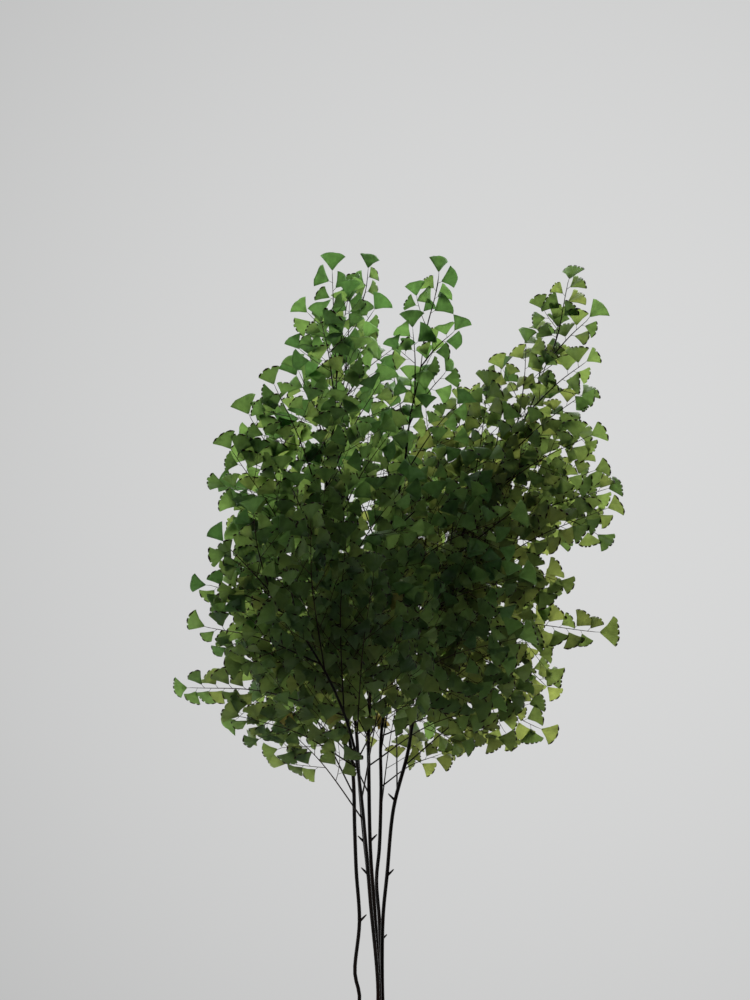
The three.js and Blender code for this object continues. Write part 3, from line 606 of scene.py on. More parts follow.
def living_blade(settings):
    """Fern leaflet: a thin matt sheet that lets much of the light through, with forked veins from its stalk.

    Young leaflets are a clean blue-green and older ones olive. Spore pads under the folded margin show as
    dark brown marks, and a few old leaflets go yellow or brown from the margin in.
    """
    material, tree, _, mottle = new_material("fern_leaflet_living", (3.2, 3.0, 0.55))
    age, tone, pad = (add(tree, "ShaderNodeAttribute", give="Fac", attribute_name=name)
                      for name in ("age", "tone", "pad"))
    ripeness = add(tree, MATH, (tone, 0.12, age), operation="MULTIPLY_ADD")
    ripeness = add(tree, RANGE, (ripeness, 0.02, 0.62))
    rare = add(tree, RANGE, (tone, 0.98, 0.995, 0.0, 0.6))
    withered = add(tree, MATH, (rare, add(tree, RANGE, (age, 0.3, 0.6))), operation="MULTIPLY")
    shade = add(tree, MATH, (tone, 0.26, 0.93), operation="MULTIPLY_ADD")
    shade = add(tree, MATH, (shade, add(tree, RANGE, (mottle, *NOISE_RANGE, -0.1, 0.1))), operation="ADD")

    # The veins run out from the stalk, and each forks once, about halfway
    plan = add(tree, "ShaderNodeUVMap", uv_map="plan")
    turn, reach, _ = add(tree, "ShaderNodeSeparateXYZ", (plan,), None).outputs
    coarse, fine = (add(tree, MATH, (turn, count), operation="MULTIPLY") for count in (VEINS, 2 * VEINS))
    coarse, fine = (add(tree, MATH, (each, 0.5), operation="PINGPONG") for each in (coarse, fine))
    vein = add(tree, MIX, {0: add(tree, RANGE, (reach, 0.45, 0.6)), 2: coarse, 3: fine})
    vein = add(tree, RANGE, (vein, 0.06, 0.2, 1.0, 0.0))

    # Some old leaflets are dry along the edge, and spore pads lie where the attribute puts them
    weathered = add(tree, MATH, (age, mottle), operation="ADD")
    weathered = add(tree, RANGE, (weathered, 1.2, 1.5, 0.0, 0.7))
    dry = add(tree, MATH, (add(tree, RANGE, (reach, 0.82, 1.0)), weathered), operation="MULTIPLY")
    pads = add(tree, MATH, (mottle, 0.3, pad), operation="MULTIPLY_ADD")
    pads = add(tree, RANGE, (pads, 0.52, 0.64))
    sides = []
    for young, ripe, old, dark, brown, spot in (
            (settings.young_colour, settings.ripe_colour, settings.old_colour,
             "#2f4a20", "#7a6234", settings.pad_colour),
            (settings.young_light, settings.ripe_light, settings.old_light,
             "#7d9a58", "#b89c5e", "#4a3420")):
        green = coated(tree, paint(young), (ripeness, ripe), (withered, old))
        green = add(tree, "ShaderNodeVectorMath", {0: green, "Scale": shade}, operation="SCALE")
        sides.append(coated(tree, green, ((vein, 0.0, 1.0, 0.0, 0.25), dark), (dry, brown), (pads, spot)))
    return finish_material(
        material, sides[0], (mottle, 0.42, 0.56), 1.42, 0.55, relief=((vein, 0.6), (pads, 1.5)),
        strength=0.35, depth=0.1, glow=sides[1])


def polished_stalk(settings):
    """Maidenhair stalk: hard, wiry and near black, with the shine of dark horn, and brown where thin.

    The streaks along it are 0.9 mm wide, several times a real fibre's width, so that they show.
    """
    material, tree, place, patches = new_material("fern_stalk_ebony", (14, 2.0, 0.55))
    upright = add(tree, "ShaderNodeMapping", {"Vector": place, "Scale": (1.0, 1.0, 0.12)})
    streaks = add(tree, "ShaderNodeTexNoise", {
        "Vector": upright, "Scale": 1 / (0.9 * MM), "Detail": 4.0, "Roughness": 0.55})
    thick = add(tree, "ShaderNodeAttribute", give="Fac", attribute_name="thick")
    colour = coated(
        tree, paint(settings.stalk_colour), ((patches, 0.45, 0.75, 0.0, 0.6), "#22120b"),
        ((streaks, 0.5, 0.7, 0.0, 0.5), "#170e09"),
        ((thick, 0.25 * MM, 0.6 * MM, 0.7, 0.0), "#4a3826"))
    return finish_material(
        material, colour, (streaks, 0.28, 0.46), 1.45, 0.12, relief=((streaks, 1.0),), strength=0.25,
        depth=0.1)


def fired_clay(settings):
    """Unglazed terracotta, thrown and fired: dry and matt, blotched by the kiln, with fine grit and throwing
    lines, and pale salts where water has dried out of the wall.

    Real grit is near 0.4 mm and is drawn about twice as coarse, so that it shows. The throwing lines are
    about 5 mm apart.
    """
    material, tree, place, blotch, grit, speck, crust = new_material(
        "terracotta_unglazed", (38, 4.0, 0.6), (0.9, 2.0, 0.7), (2.6, 1.0, 0.55), (5, 5.0, 0.7))
    height = add(tree, "ShaderNodeSeparateXYZ", (place,), "Z")

    # Salts lie near the foot and in a band under the collar, broken up by two noises
    low = add(tree, RANGE, (height, 4 * MM, 30 * MM, 1.0, 0.0))
    band = add(tree, MATH, (height, SALT_BAND_Z * MM), operation="SUBTRACT")
    band = add(tree, RANGE, (add(tree, MATH, (band,), operation="ABSOLUTE"), 0.0, 22 * MM, 1.0, 0.0))
    salt = add(tree, MATH, (low, band), operation="MAXIMUM")
    for share in ((blotch, 0.42, 0.66), (crust, 0.35, 0.6)):
        salt = add(tree, MATH, (salt, add(tree, RANGE, share)), operation="MULTIPLY")
    colour = coated(
        tree, paint(settings.clay_colour), ((blotch, *NOISE_RANGE), "#a5573a"),
        ((speck, 0.6, 0.72, 0.0, 0.5), "#8a4730"), ((grit, 0.55, 0.75, 0.0, 0.25), "#d99a78"),
        ((salt, 0.0, 1.0, 0.0, 0.7), settings.salt_colour))
    rings = add(tree, "ShaderNodeTexWave", {
        "Vector": place, "Scale": math.tau / (WAVE_PACE * THROWING_LINES * MM), "Distortion": 1.2,
        "Detail": 2.0, "Detail Scale": 0.6}, "Fac", wave_type="BANDS", bands_direction="Z")
    return finish_material(
        material, colour, (blotch, 0.82, 0.95), 1.5, 0.25, relief=((grit, 0.7), (rings, 0.35), (salt, 0.3)),
        strength=0.5, depth=0.3)


def potting_mix(settings):
    """Damp peat-based potting soil: near-black crumbs with brown fibres, which barely shine."""
    material, tree, _, coarse, fine = new_material("potting_soil_damp", (4.5, 4.0, 0.65), (0.7, 3.0, 0.7))
    tone = add(tree, "ShaderNodeAttribute", give="Fac", attribute_name="tone")
    colour = coated(
        tree, paint(settings.soil_colour), ((coarse, 0.35, 0.65), "#2b1c12"),
        ((fine, 0.56, 0.7, 0.0, 0.7), "#54402a"), ((tone, 0.1, 0.95, 0.0, 0.6), "#4a3120"))
    return finish_material(
        material, colour, (coarse, 0.78, 0.98), 1.45, relief=((fine, 1.0),), strength=0.8, depth=0.5)


def puffed_mineral():
    """Perlite: grains of puffed glass in the soil, chalk white and dull, and darker in the low parts of
    their pits.
    """
    material, tree, _, pits = new_material("perlite_grains", (0.8, 4.0, 0.7))
    # The low parts of the pits, where the bump goes down, are drawn darker
    colour = coated(tree, paint("#dcd8cc"), ((pits, 0.4, 0.62, 1.0, 0.0), "#9c907a"))
    return finish_material(material, colour, 0.9, 1.5, relief=((pits, 1.0),), strength=0.7, depth=0.4)


def paper_sweep(settings):
    """Matt studio board under the pot: pale, even and slightly fibrous."""
    material, tree, _, fibre = new_material("studio_board_matt", (6, 4.0, 0.55))
    colour = coated(tree, paint(settings.floor_colour), ((fibre, *NOISE_RANGE, 0.0, 0.04), "#959595"))
    return finish_material(material, colour, 0.85, 1.45)


def new_object(name, data, collection=None):
    made = bpy.data.objects.new(name, data)
    (collection or bpy.context.scene.collection).objects.link(made)
    return made


def mesh_of(bm, name):
    """Writes a bmesh as a mesh and frees it."""
    mesh = bpy.data.meshes.new(name)
    bm.to_mesh(mesh)
    bm.free()
    return mesh


def fan_outline(kind, seed):
    """The outer edge of a leaflet: for each column its turn from -1 to 1, its share of the radius, and 1
    where a spore pad sits. Ripe leaflets have lobes with folded edges, young ones are plain."""
    if kind == "young":
        turns = [2 * i / YOUNG_COLUMNS - 1 for i in range(YOUNG_COLUMNS + 1)]
        return [(turn, 0.97 + 0.06 * turn * turn + 0.02 * spread(seed, 30 + i), 0.0)
                for i, turn in enumerate(turns)]
    lobes = 3 + int(3 * draw(seed, 3))
    cuts = [0.0]
    for lobe in range(lobes):
        cuts.append(cuts[-1] + 1 + 0.35 * spread(seed, 40 + lobe))
    cuts = [2 * cut / cuts[-1] - 1 for cut in cuts]
    columns = []
    for lobe, (low, high) in enumerate(zip(cuts, cuts[1:])):
        notch = 0.05 + 0.09 * draw(seed, 50 + lobe)
        top = 0.965 + 0.035 * spread(seed, 60 + lobe) + 0.03 * ((low + high) / 2) ** 2
        has_pad = draw(seed, 70 + lobe) < PAD_CHANCE
        middle = 0.5 + 0.12 * spread(seed, 80 + lobe)
        columns.append((low, top - (notch if lobe else 0.03), 0.0))
        for place, rise, dark in ((0.18, -0.01, 0.45), (middle, 0.005, 1.0), (0.84, -0.015, 0.45)):
            columns.append((lerp(low, high, place), top + rise, dark if has_pad else 0.0))
    columns.append((1.0, columns[-1][1] - 0.03, 0.0))
    return columns


def leaflet_mesh(name, kind, seed, thickness):
    """One leaflet with its stalk, along +X from its root, with its front towards +Z."""
    columns = fan_outline(kind, seed)
    half_angle = math.radians(42 + 5 * spread(seed, 1))
    skew = math.radians(7) * spread(seed, 2)
    waist = 0.7 + 0.12 * draw(seed, 4)
    dome = 1.3 + 1.1 * draw(seed, 8)
    droop = 1.1 * spread(seed, 9)
    wave = 0.5 + 0.45 * draw(seed, 10)
    phase = FULL_TURN * draw(seed, 12)

    def surface(share, turn, reach):
        angle = turn * half_angle * lerp(waist, 1, share ** 0.7) + skew * share
        radius = LEAFLET_RADIUS * reach * share
        x = LEAFLET_STALK + radius * math.cos(angle)
        y = radius * math.sin(angle)
        z = -dome * (y / LEAFLET_RADIUS) ** 2 - droop * share ** 2
        z += wave * share ** 2 * math.sin(4.2 * turn + phase)
        return Vector((x, y, z))

    bm = bmesh.new()
    plan = bm.loops.layers.uv.new("plan")
    pad = bm.verts.layers.float.new("pad")
    wiry = bm.faces.layers.bool.new("wiry")
    spots, rows = {}, []
    for share, pad_share in FAN_RINGS:
        rim = share == 1
        rows.append(([], []))
        for turn, reach, dark in columns:
            point = surface(share, turn, lerp(1.0, reach, share ** 3))
            half = thickness / 2 * (RIM_THICKNESS if rim else 1.0)
            fold = RIM_FOLD * dark if rim else 0.0
            for row, z in zip(rows[-1], (half - 0.25 * fold, -half - fold)):
                row.append(bm.verts.new((point + Vector((0, 0, z))) * MM))
                row[-1][pad] = pad_share * dark
                spots[row[-1]] = ((turn + 1) / 2, share)

    def face(*corners):
        made = bm.faces.new(corners)
        made.smooth = True
        for loop in made.loops:
            loop[plan].uv = spots[loop.vert]

    last = len(columns) - 1
    for (front, back), (far_front, far_back) in zip(rows, rows[1:]):
        for i in range(last):
            face(front[i], far_front[i], far_front[i + 1], front[i + 1])
            face(back[i + 1], far_back[i + 1], far_back[i], back[i])
        face(front[0], back[0], far_back[0], far_front[0])
        face(far_front[last], far_back[last], back[last], front[last])
    for (front, back), order in ((rows[-1], 1), (rows[0], -1)):
        for i in range(last):
            face(*(front[i], back[i], back[i + 1], front[i + 1])[::order])
    add_leaflet_stalk(bm, wiry, surface(0.16, 0.0, 1.0))
    bmesh.ops.recalc_face_normals(bm, faces=bm.faces)
    return mesh_of(bm, name)


def add_leaflet_stalk(bm, wiry, end):
    """A hair-thin stalk from the rib to just inside the blade."""
    rows = []
    for step, radius in LEAFLET_STALK_ROWS:
        centre = Vector((-0.3, 0, 0)).lerp(end, step) + Vector((0, 0, 0.25 * math.sin(math.pi * step)))
        rows.append([bm.verts.new((centre + Vector((0, radius * math.cos(a), radius * math.sin(a)))) * MM)
                     for a in (math.radians(90 * k + 45) for k in range(4))])
    made = [bm.faces.new((a[k], a[(k + 1) % 4], b[(k + 1) % 4], b[k]))
            for a, b in zip(rows, rows[1:]) for k in range(4)]
    made += [bm.faces.new(rows[0][::-1]), bm.faces.new(rows[-1])]
    for each in made:
        each.smooth = True
        each[wiry] = True


def open_tree(name, attributes, *inputs):
    """A new geometry tree that reads the attributes and has the inputs (name, kind, default). Gives the
    tree, its input sockets, and the attributes' sockets in a list."""
    tree = bpy.data.node_groups.new(name, "GeometryNodeTree")
    for label, kind, default in (("Geometry", "Geometry", None), *inputs):
        socket = tree.interface.new_socket(label, in_out="INPUT", socket_type=f"NodeSocket{kind}")
        if default is not None:
            socket.default_value = default
    tree.interface.new_socket("Geometry", in_out="OUTPUT", socket_type="NodeSocketGeometry")
    read = [add(tree, "GeometryNodeInputNamedAttribute", {"Name": label}, data_type=ATTRIBUTES[label])
            for label in attributes]
    return tree, add(tree, "NodeGroupInput", give=None).outputs, read


def close_tree(tree, points, stock, placing, tone_seed, others, base, marked, second):
    """Puts a shape of the stock on each point with a tone of its own, joins the other parts on, and gives
    all of it the base material and what is marked the second one."""
    stock = add(tree, "GeometryNodeCollectionInfo", {
        "Collection": stock, "Separate Children": True, "Reset Children": True})
    shapes = add(tree, "GeometryNodeInstanceOnPoints", {
        "Points": points, "Instance": stock, "Pick Instance": True, **placing})
    tone = add(tree, RANDOM, {2: -1.0, 3: 1.0, "Seed": tone_seed}, 1)
    shapes = add(tree, "GeometryNodeStoreNamedAttribute", {
        "Geometry": shapes, "Name": "tone", "Value": tone}, domain="INSTANCE", data_type="FLOAT")
    joined = add(tree, "GeometryNodeJoinGeometry", ([shapes, *others],))
    real = add(tree, "GeometryNodeRealizeInstances", {"Geometry": joined})
    plain = add(tree, "GeometryNodeSetMaterial", {"Geometry": real, "Material": base})
    dressed = add(tree, "GeometryNodeSetMaterial", {
        "Geometry": plain, "Selection": marked, "Material": second})
    add(tree, "NodeGroupOutput", {"Geometry": dressed}, None)
    return tree


def growth_tree():
    """Turns a frond's lines into round ribs and puts a leaflet on each of its loose points."""
    tree, given, (leafy, stout, wiry, thick, size, turn, kind) = open_tree(
        "maidenhair_growth", ("leafy", "stout", "wiry", "thick", "size", "turn", "kind"),
        ("Leaflets", "Collection", None), ("Stalk Sides", "Int", STALK_SIDES),
        ("Rib Sides", "Int", RIB_SIDES), ("Size Change", "Float", 0.06), ("Seed", "Int", 1),
        ("Blade", "Material", None), ("Stalk", "Material", None))
    points, lines = add(tree, "GeometryNodeSeparateGeometry", {
        "Geometry": given["Geometry"], "Selection": leafy}, None, domain="POINT").outputs
    stalks, ribs = add(tree, "GeometryNodeSeparateGeometry", {
        "Geometry": lines, "Selection": stout}, None, domain="POINT").outputs
    tubes = []
    for line, sides in ((stalks, "Stalk Sides"), (ribs, "Rib Sides")):
        curve = add(tree, "GeometryNodeMeshToCurve", {"Mesh": line})
        ring = add(tree, "GeometryNodeCurvePrimitiveCircle", {"Resolution": given[sides], "Radius": 1.0})
        tube = add(tree, "GeometryNodeCurveToMesh", {
            "Curve": curve, "Profile Curve": ring, "Scale": thick, "Fill Caps": True})
        tube = add(tree, "GeometryNodeStoreNamedAttribute", {
            "Geometry": tube, "Name": "wiry", "Value": True}, domain="FACE", data_type="BOOLEAN")
        tubes.append(add(tree, "GeometryNodeSetShadeSmooth", {"Geometry": tube, "Shade Smooth": True}))
    least, most = (add(tree, MATH, (1.0, given["Size Change"]), operation=each)
                   for each in ("SUBTRACT", "ADD"))
    change = add(tree, RANDOM, {2: least, 3: most, "Seed": given["Seed"]}, 1)
    placing = {
        "Instance Index": kind,
        "Rotation": add(tree, "FunctionNodeEulerToRotation", (turn,)),
        "Scale": add(tree, MATH, (size, change), operation="MULTIPLY"),
    }
    tone_seed = add(tree, MATH, (given["Seed"], 71.0), operation="ADD")
    return close_tree(
        tree, points, given["Leaflets"], placing, tone_seed, tubes, given["Blade"], wiry, given["Stalk"])


def crumb_tree():
    """Scatters crumbs and grains over the top of the soil."""
    tree, given, (top, mineral) = open_tree(
        "soil_crumbs", ("top", "mineral"),
        ("Crumbs", "Collection", None), ("Per Square Metre", "Float", 100000.0), ("Smallest", "Float", 0.5),
        ("Largest", "Float", 1.6), ("Seed", "Int", 3), ("Soil", "Material", None),
        ("Grain", "Material", None))
    points = add(tree, "GeometryNodeDistributePointsOnFaces", {
        "Mesh": given["Geometry"], "Selection": top, "Density": given["Per Square Metre"],
        "Seed": given["Seed"]}, distribute_method="RANDOM")
    turn = add(tree, RANDOM, {0: (0, 0, 0), 1: (FULL_TURN,) * 3, "Seed": given["Seed"]},
               data_type="FLOAT_VECTOR")
    share = add(tree, RANDOM, {2: 0.0, 3: 1.0, "Seed": given["Seed"]}, 1)
    skewed = add(tree, MATH, (share, 3.0), operation="POWER")
    size = add(tree, RANGE, (skewed, 0.0, 1.0, given["Smallest"], given["Largest"]))
    return close_tree(
        tree, points, given["Crumbs"], {"Rotation": turn, "Scale": size}, 9, [given["Geometry"]],
        given["Soil"], mineral, given["Grain"])


def grown(source, tree, values, name):
    """Runs a geometry tree on an object and gives the result as a plain object of its own."""
    modifier = source.modifiers.new("growth", "NODES")
    modifier.node_group = tree
    keys = {item.name: item.identifier for item in tree.interface.items_tree
            if item.item_type == "SOCKET" and item.in_out == "INPUT"}
    for label, value in values.items():
        modifier[keys[label]] = value
    depsgraph = bpy.context.evaluated_depsgraph_get()
    mesh = bpy.data.meshes.new_from_object(
        source.evaluated_get(depsgraph), preserve_all_data_layers=True, depsgraph=depsgraph)
    mesh.name = name
    bpy.data.objects.remove(source)
    if not mesh.polygons:
        raise RuntimeError(f"{name} came out empty")
    return new_object(name, mesh)


def settle(piece, node):
    """Hangs a piece on the body it moves with and hides the solid that it stands for."""
    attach(piece, BODY)
    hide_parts(node)


def frond_seed_object(frond, index, young_kinds, ripe_kinds):
    """The lines and loose leaflet points of a frond as one mesh with attributes."""
    lines, leaflets = grow_frond(frond, index)
    points, edges, rows = [], [], []
    for places, radii, stout in lines:
        start = len(points)
        points += [place * MM for place in places]
        edges += [(start + i, start + i + 1) for i in range(len(places) - 1)]
        rows += [(radius * MM, stout, False, (0, 0, 0), 1.0, 0, 0.5) for radius in radii]
    for each in leaflets:
        axes = Matrix((each["along"], each["across"], each["normal"])).transposed()
        is_young = each["age"] < 0.1 + 0.16 * draw(each["seed"], 13)
        first, count = (0, young_kinds) if is_young else (young_kinds, ripe_kinds)
        kind = first + int(count * draw(each["seed"], 14)) % count
        points.append(each["root"] * MM)
        rows.append((0.0, False, True, tuple(axes.to_euler()), each["radius"] / LEAFLET_RADIUS, kind,
                     each["age"]))
    mesh = bpy.data.meshes.new(f"{frond['name']}_plan")
    mesh.from_pydata(points, edges, [])
    for name, values in zip(("thick", "stout", "leafy", "turn", "size", "kind", "age"), zip(*rows)):
        attribute = mesh.attributes.new(name, ATTRIBUTES[name], "POINT")
        if name == "turn":
            attribute.data.foreach_set("vector", [part for value in values for part in value])
        else:
            attribute.data.foreach_set("value", values)
    return new_object(mesh.name, mesh)


def arc(centre, radius, start, end, steps):
    """Points on an arc of a profile, by angles in degrees."""
    angles = [math.radians(lerp(start, end, i / steps)) for i in range(steps + 1)]
    return [(centre[0] + radius * math.cos(a), centre[1] + radius * math.sin(a)) for a in angles]


def straight(start, end, steps):
    """Points on a straight part of a profile."""
    shares = [i / steps for i in range(steps + 1)]
    return [(lerp(start[0], end[0], share), lerp(start[1], end[1], share)) for share in shares]


def lathe(profile, sides, place):
    """Turns a profile round +Z, where place gives the point for an angle, a radius and a height. The last
    row is closed by one face, unless it lies on the axis."""
    bm = bmesh.new()
    rows = []
    for radius, z in profile:
        angles = [math.tau * k / sides for k in range(sides if radius else 1)]
        rows.append([bm.verts.new([part * MM for part in place(a, radius, z)]) for a in angles])
    for low, high in zip(rows, rows[1:]):
        for k in range(sides):
            corners = (low[k % len(low)], low[(k + 1) % len(low)],
                       high[(k + 1) % len(high)], high[k % len(high)])
            bm.faces.new(list(dict.fromkeys(corners)))
    if len(rows[-1]) > 1:
        bm.faces.new(rows[-1][::-1])
    bmesh.ops.recalc_face_normals(bm, faces=bm.faces)
    return bm


def sized(name, description, default, least=0.0):
    """A setting for a length in metres."""
    return FloatProperty(name=name, description=description, default=default, min=least, unit="LENGTH")


def tinted(name, description, code):
    """A setting for a colour, from a hex code."""
    return FloatVectorProperty(
        name=name, description=description, default=linear(code), size=3, min=0, max=1, subtype="COLOR")


class PotSettings(bpy.types.PropertyGroup):
    """Sizes and colours of the clay pot"""

    height: sized("Height", "Height of the pot", POT_BOX[1].z, 0.04)
    rim_radius: sized("Rim radius", "Radius of the collar at its top", POT_BOX[1].x, 0.03)
    foot_radius: sized("Foot radius", "Radius of the flat base", 0.048, 0.02)
    shoulder_radius: sized("Shoulder radius", "Radius of the body just under the collar", 0.062, 0.02)
    collar_height: sized("Collar height", "Height of the collar", 0.030, 0.005)
    wall: sized("Wall", "Thickness of the wall", 0.0065, 0.002)
    floor: sized("Floor", "Thickness of the base", 0.009, 0.002)
    clay_colour: tinted("Clay", "Main colour of the fired clay", "#b96f50")
    salt_colour: tinted("Salts", "Colour of the salts on the wall", "#d9c2b0")


class SoilSettings(bpy.types.PropertyGroup):
    """Sizes and colours of the soil"""

    crumb_size: sized("Crumb size", "Width of a middling crumb", 0.0022, 0.0005)
    crumbs: FloatProperty(name="Crumbs", description="Crumbs on a square metre", default=140000, min=0)
    grain_share: FloatProperty(
        name="White grains", description="Share of the crumbs that are white grains", default=0.1,
        min=0, max=1, subtype="FACTOR")
    seed: IntProperty(name="Seed", description="Changes where the crumbs lie", default=3, min=0)
    soil_colour: tinted("Soil", "Main colour of the damp soil", "#1d130d")


class FrondSettings(bpy.types.PropertyGroup):
    """Sizes and colours of the fronds"""

    thickness: sized("Blade", "Thickness of a leaflet", 0.00026, 0.0001)
    size_change: FloatProperty(
        name="Size change", description="How much the leaflets differ in size", default=0.05, min=0,
        max=0.3, subtype="FACTOR")
    young_kinds: IntProperty(
        name="Young shapes", description="Number of different young leaflets", default=4, min=1, max=9)
    ripe_kinds: IntProperty(
        name="Ripe shapes", description="Number of different ripe leaflets", default=7, min=1, max=9)
    seed: IntProperty(name="Seed", description="Changes the leaflets' tones", default=5, min=0)
    young_colour: tinted("Young", "Colour of young leaflets", "#4b7a44")
    young_light: tinted("Light through young", "Colour of light that young leaflets let through", "#b2d498")
    ripe_colour: tinted("Ripe", "Colour of ripe leaflets", "#50693a")
    ripe_light: tinted("Light through ripe", "Colour of light that ripe leaflets let through", "#d1d799")
    old_colour: tinted("Old", "Colour of the few old leaflets", "#8f7c38")
    old_light: tinted("Light through old", "Colour of light that old leaflets let through", "#dcb878")
    pad_colour: tinted("Spore pads", "Colour of the spore pads", "#2a180d")
    stalk_colour: tinted("Stalk", "Colour of stalks and ribs", "#0e0b09")


class StageSettings(bpy.types.PropertyGroup):
    """The studio round the fern"""

    eye_height: sized("Eye height", "Height of the camera", 0.465)
    distance: sized("Distance", "Distance of the camera", 1.4, 0.3)
    seen_height: sized("Seen height", "Height of what the camera sees there", 0.65, 0.1)
    floor_radius: sized("Floor radius", "Radius of the round floor", 0.52, 0.2)
    floor_colour: tinted("Floor", "Colour of the floor", "#b0b1af")
    softbox_power: FloatProperty(
        name="Softbox", description="Power of the softbox behind the fern", default=27.0, min=0,
        unit="POWER")


class FERN_OT_pot(bpy.types.Operator):
    """Build the clay pot"""

    bl_idname = "fern.pot"
    bl_label = "Clay Pot"

    def profile(self, given):
        """Half of the pot's section, from the middle of its base round to the middle of its floor."""
        foot, shoulder, rim = (r / MM for r in (given.foot_radius, given.shoulder_radius, given.rim_radius))
        height, wall, floor = given.height / MM, given.wall / MM, given.floor / MM
        step = height - given.collar_height / MM

        def bore(z):
            return lerp(foot, shoulder, z / step) - wall

        # The flat base and the body
        points = [(0.0, 0.0), (foot * 0.5, 0.0), (foot * 0.8, 0.0)]
        points += arc((foot - FOOT_ROUND, FOOT_ROUND), FOOT_ROUND, -90, 0, 4)
        points += straight((foot, 2.5), (shoulder, step - 1.5), 12)

        # The fillet under the collar, and the collar
        points += [(shoulder + 0.7, step - 0.4), (shoulder + 2.2, step + 0.1)]
        points += arc((rim - COLLAR_TAPER - COLLAR_ROUND, step + COLLAR_ROUND), COLLAR_ROUND, -90, 0, 5)
        points += straight((rim - COLLAR_TAPER, step + 3), (rim, height - LIP_ROUND), 6)

        # The lip, and the bore down to the floor
        points += arc((rim - LIP_ROUND, height - LIP_ROUND), LIP_ROUND, 8, 90, 5)
        points += arc((bore(height) + MOUTH_ROUND, height - MOUTH_ROUND), MOUTH_ROUND, 90, 180, 4)
        points += [(bore(z), z) for z in (lerp(height - 4, floor + 4, i / 14) for i in range(15))]
        points += [(bore(floor) - 1, floor + 1), (bore(floor) - 3, floor), (0.0, floor)]
        return points

    def place(self, angle, radius, z):
        """A point of the wall, a little off the round as on a hand-thrown pot."""
        along = Vector((2 * math.cos(angle), 2 * math.sin(angle), z / 30))
        lines = 0.12 * math.sin(z * 1.9 + 1.2 * math.sin(angle))
        wobble = 0.3 * noise.noise(along) + (lines if 4 < z < 84 else 0.3 * lines)
        out = radius + wobble if radius else 0.0
        return out * math.cos(angle), out * math.sin(angle), z

    def drill(self, pot):
        """Cuts the drain holes."""
        bm = bmesh.new()
        wide, narrow = (radius * MM for radius in HOLE_RADII)
        for i in range(HOLES):
            angle = math.tau * (i + 0.25) / HOLES
            x, y = HOLE_RING * MM * math.cos(angle), HOLE_RING * MM * math.sin(angle)
            bmesh.ops.create_cone(bm, cap_ends=True, segments=28, radius1=wide, radius2=narrow,
                                  depth=30 * MM, matrix=Matrix.Translation((x, y, 4.5 * MM)))
        tool = new_object("drill", mesh_of(bm, "drill"))
        cut = pot.modifiers.new("drain", "BOOLEAN")
        cut.operation = "DIFFERENCE"
        cut.solver = "EXACT"
        cut.object = tool
        depsgraph = bpy.context.evaluated_depsgraph_get()
        pot.data = bpy.data.meshes.new_from_object(pot.evaluated_get(depsgraph), depsgraph=depsgraph)
        pot.modifiers.clear()
        bpy.data.objects.remove(tool)

    def execute(self, context):
        given = context.scene.fern_pot
        pot = new_object("clay_pot", mesh_of(lathe(self.profile(given), POT_SIDES, self.place), "clay_pot"))
        self.drill(pot)
        pot.data.shade_smooth()
        pot.data.materials.clear()
        pot.data.materials.append(fired_clay(given))
        settle(pot, "pot")
        return {"FINISHED"}


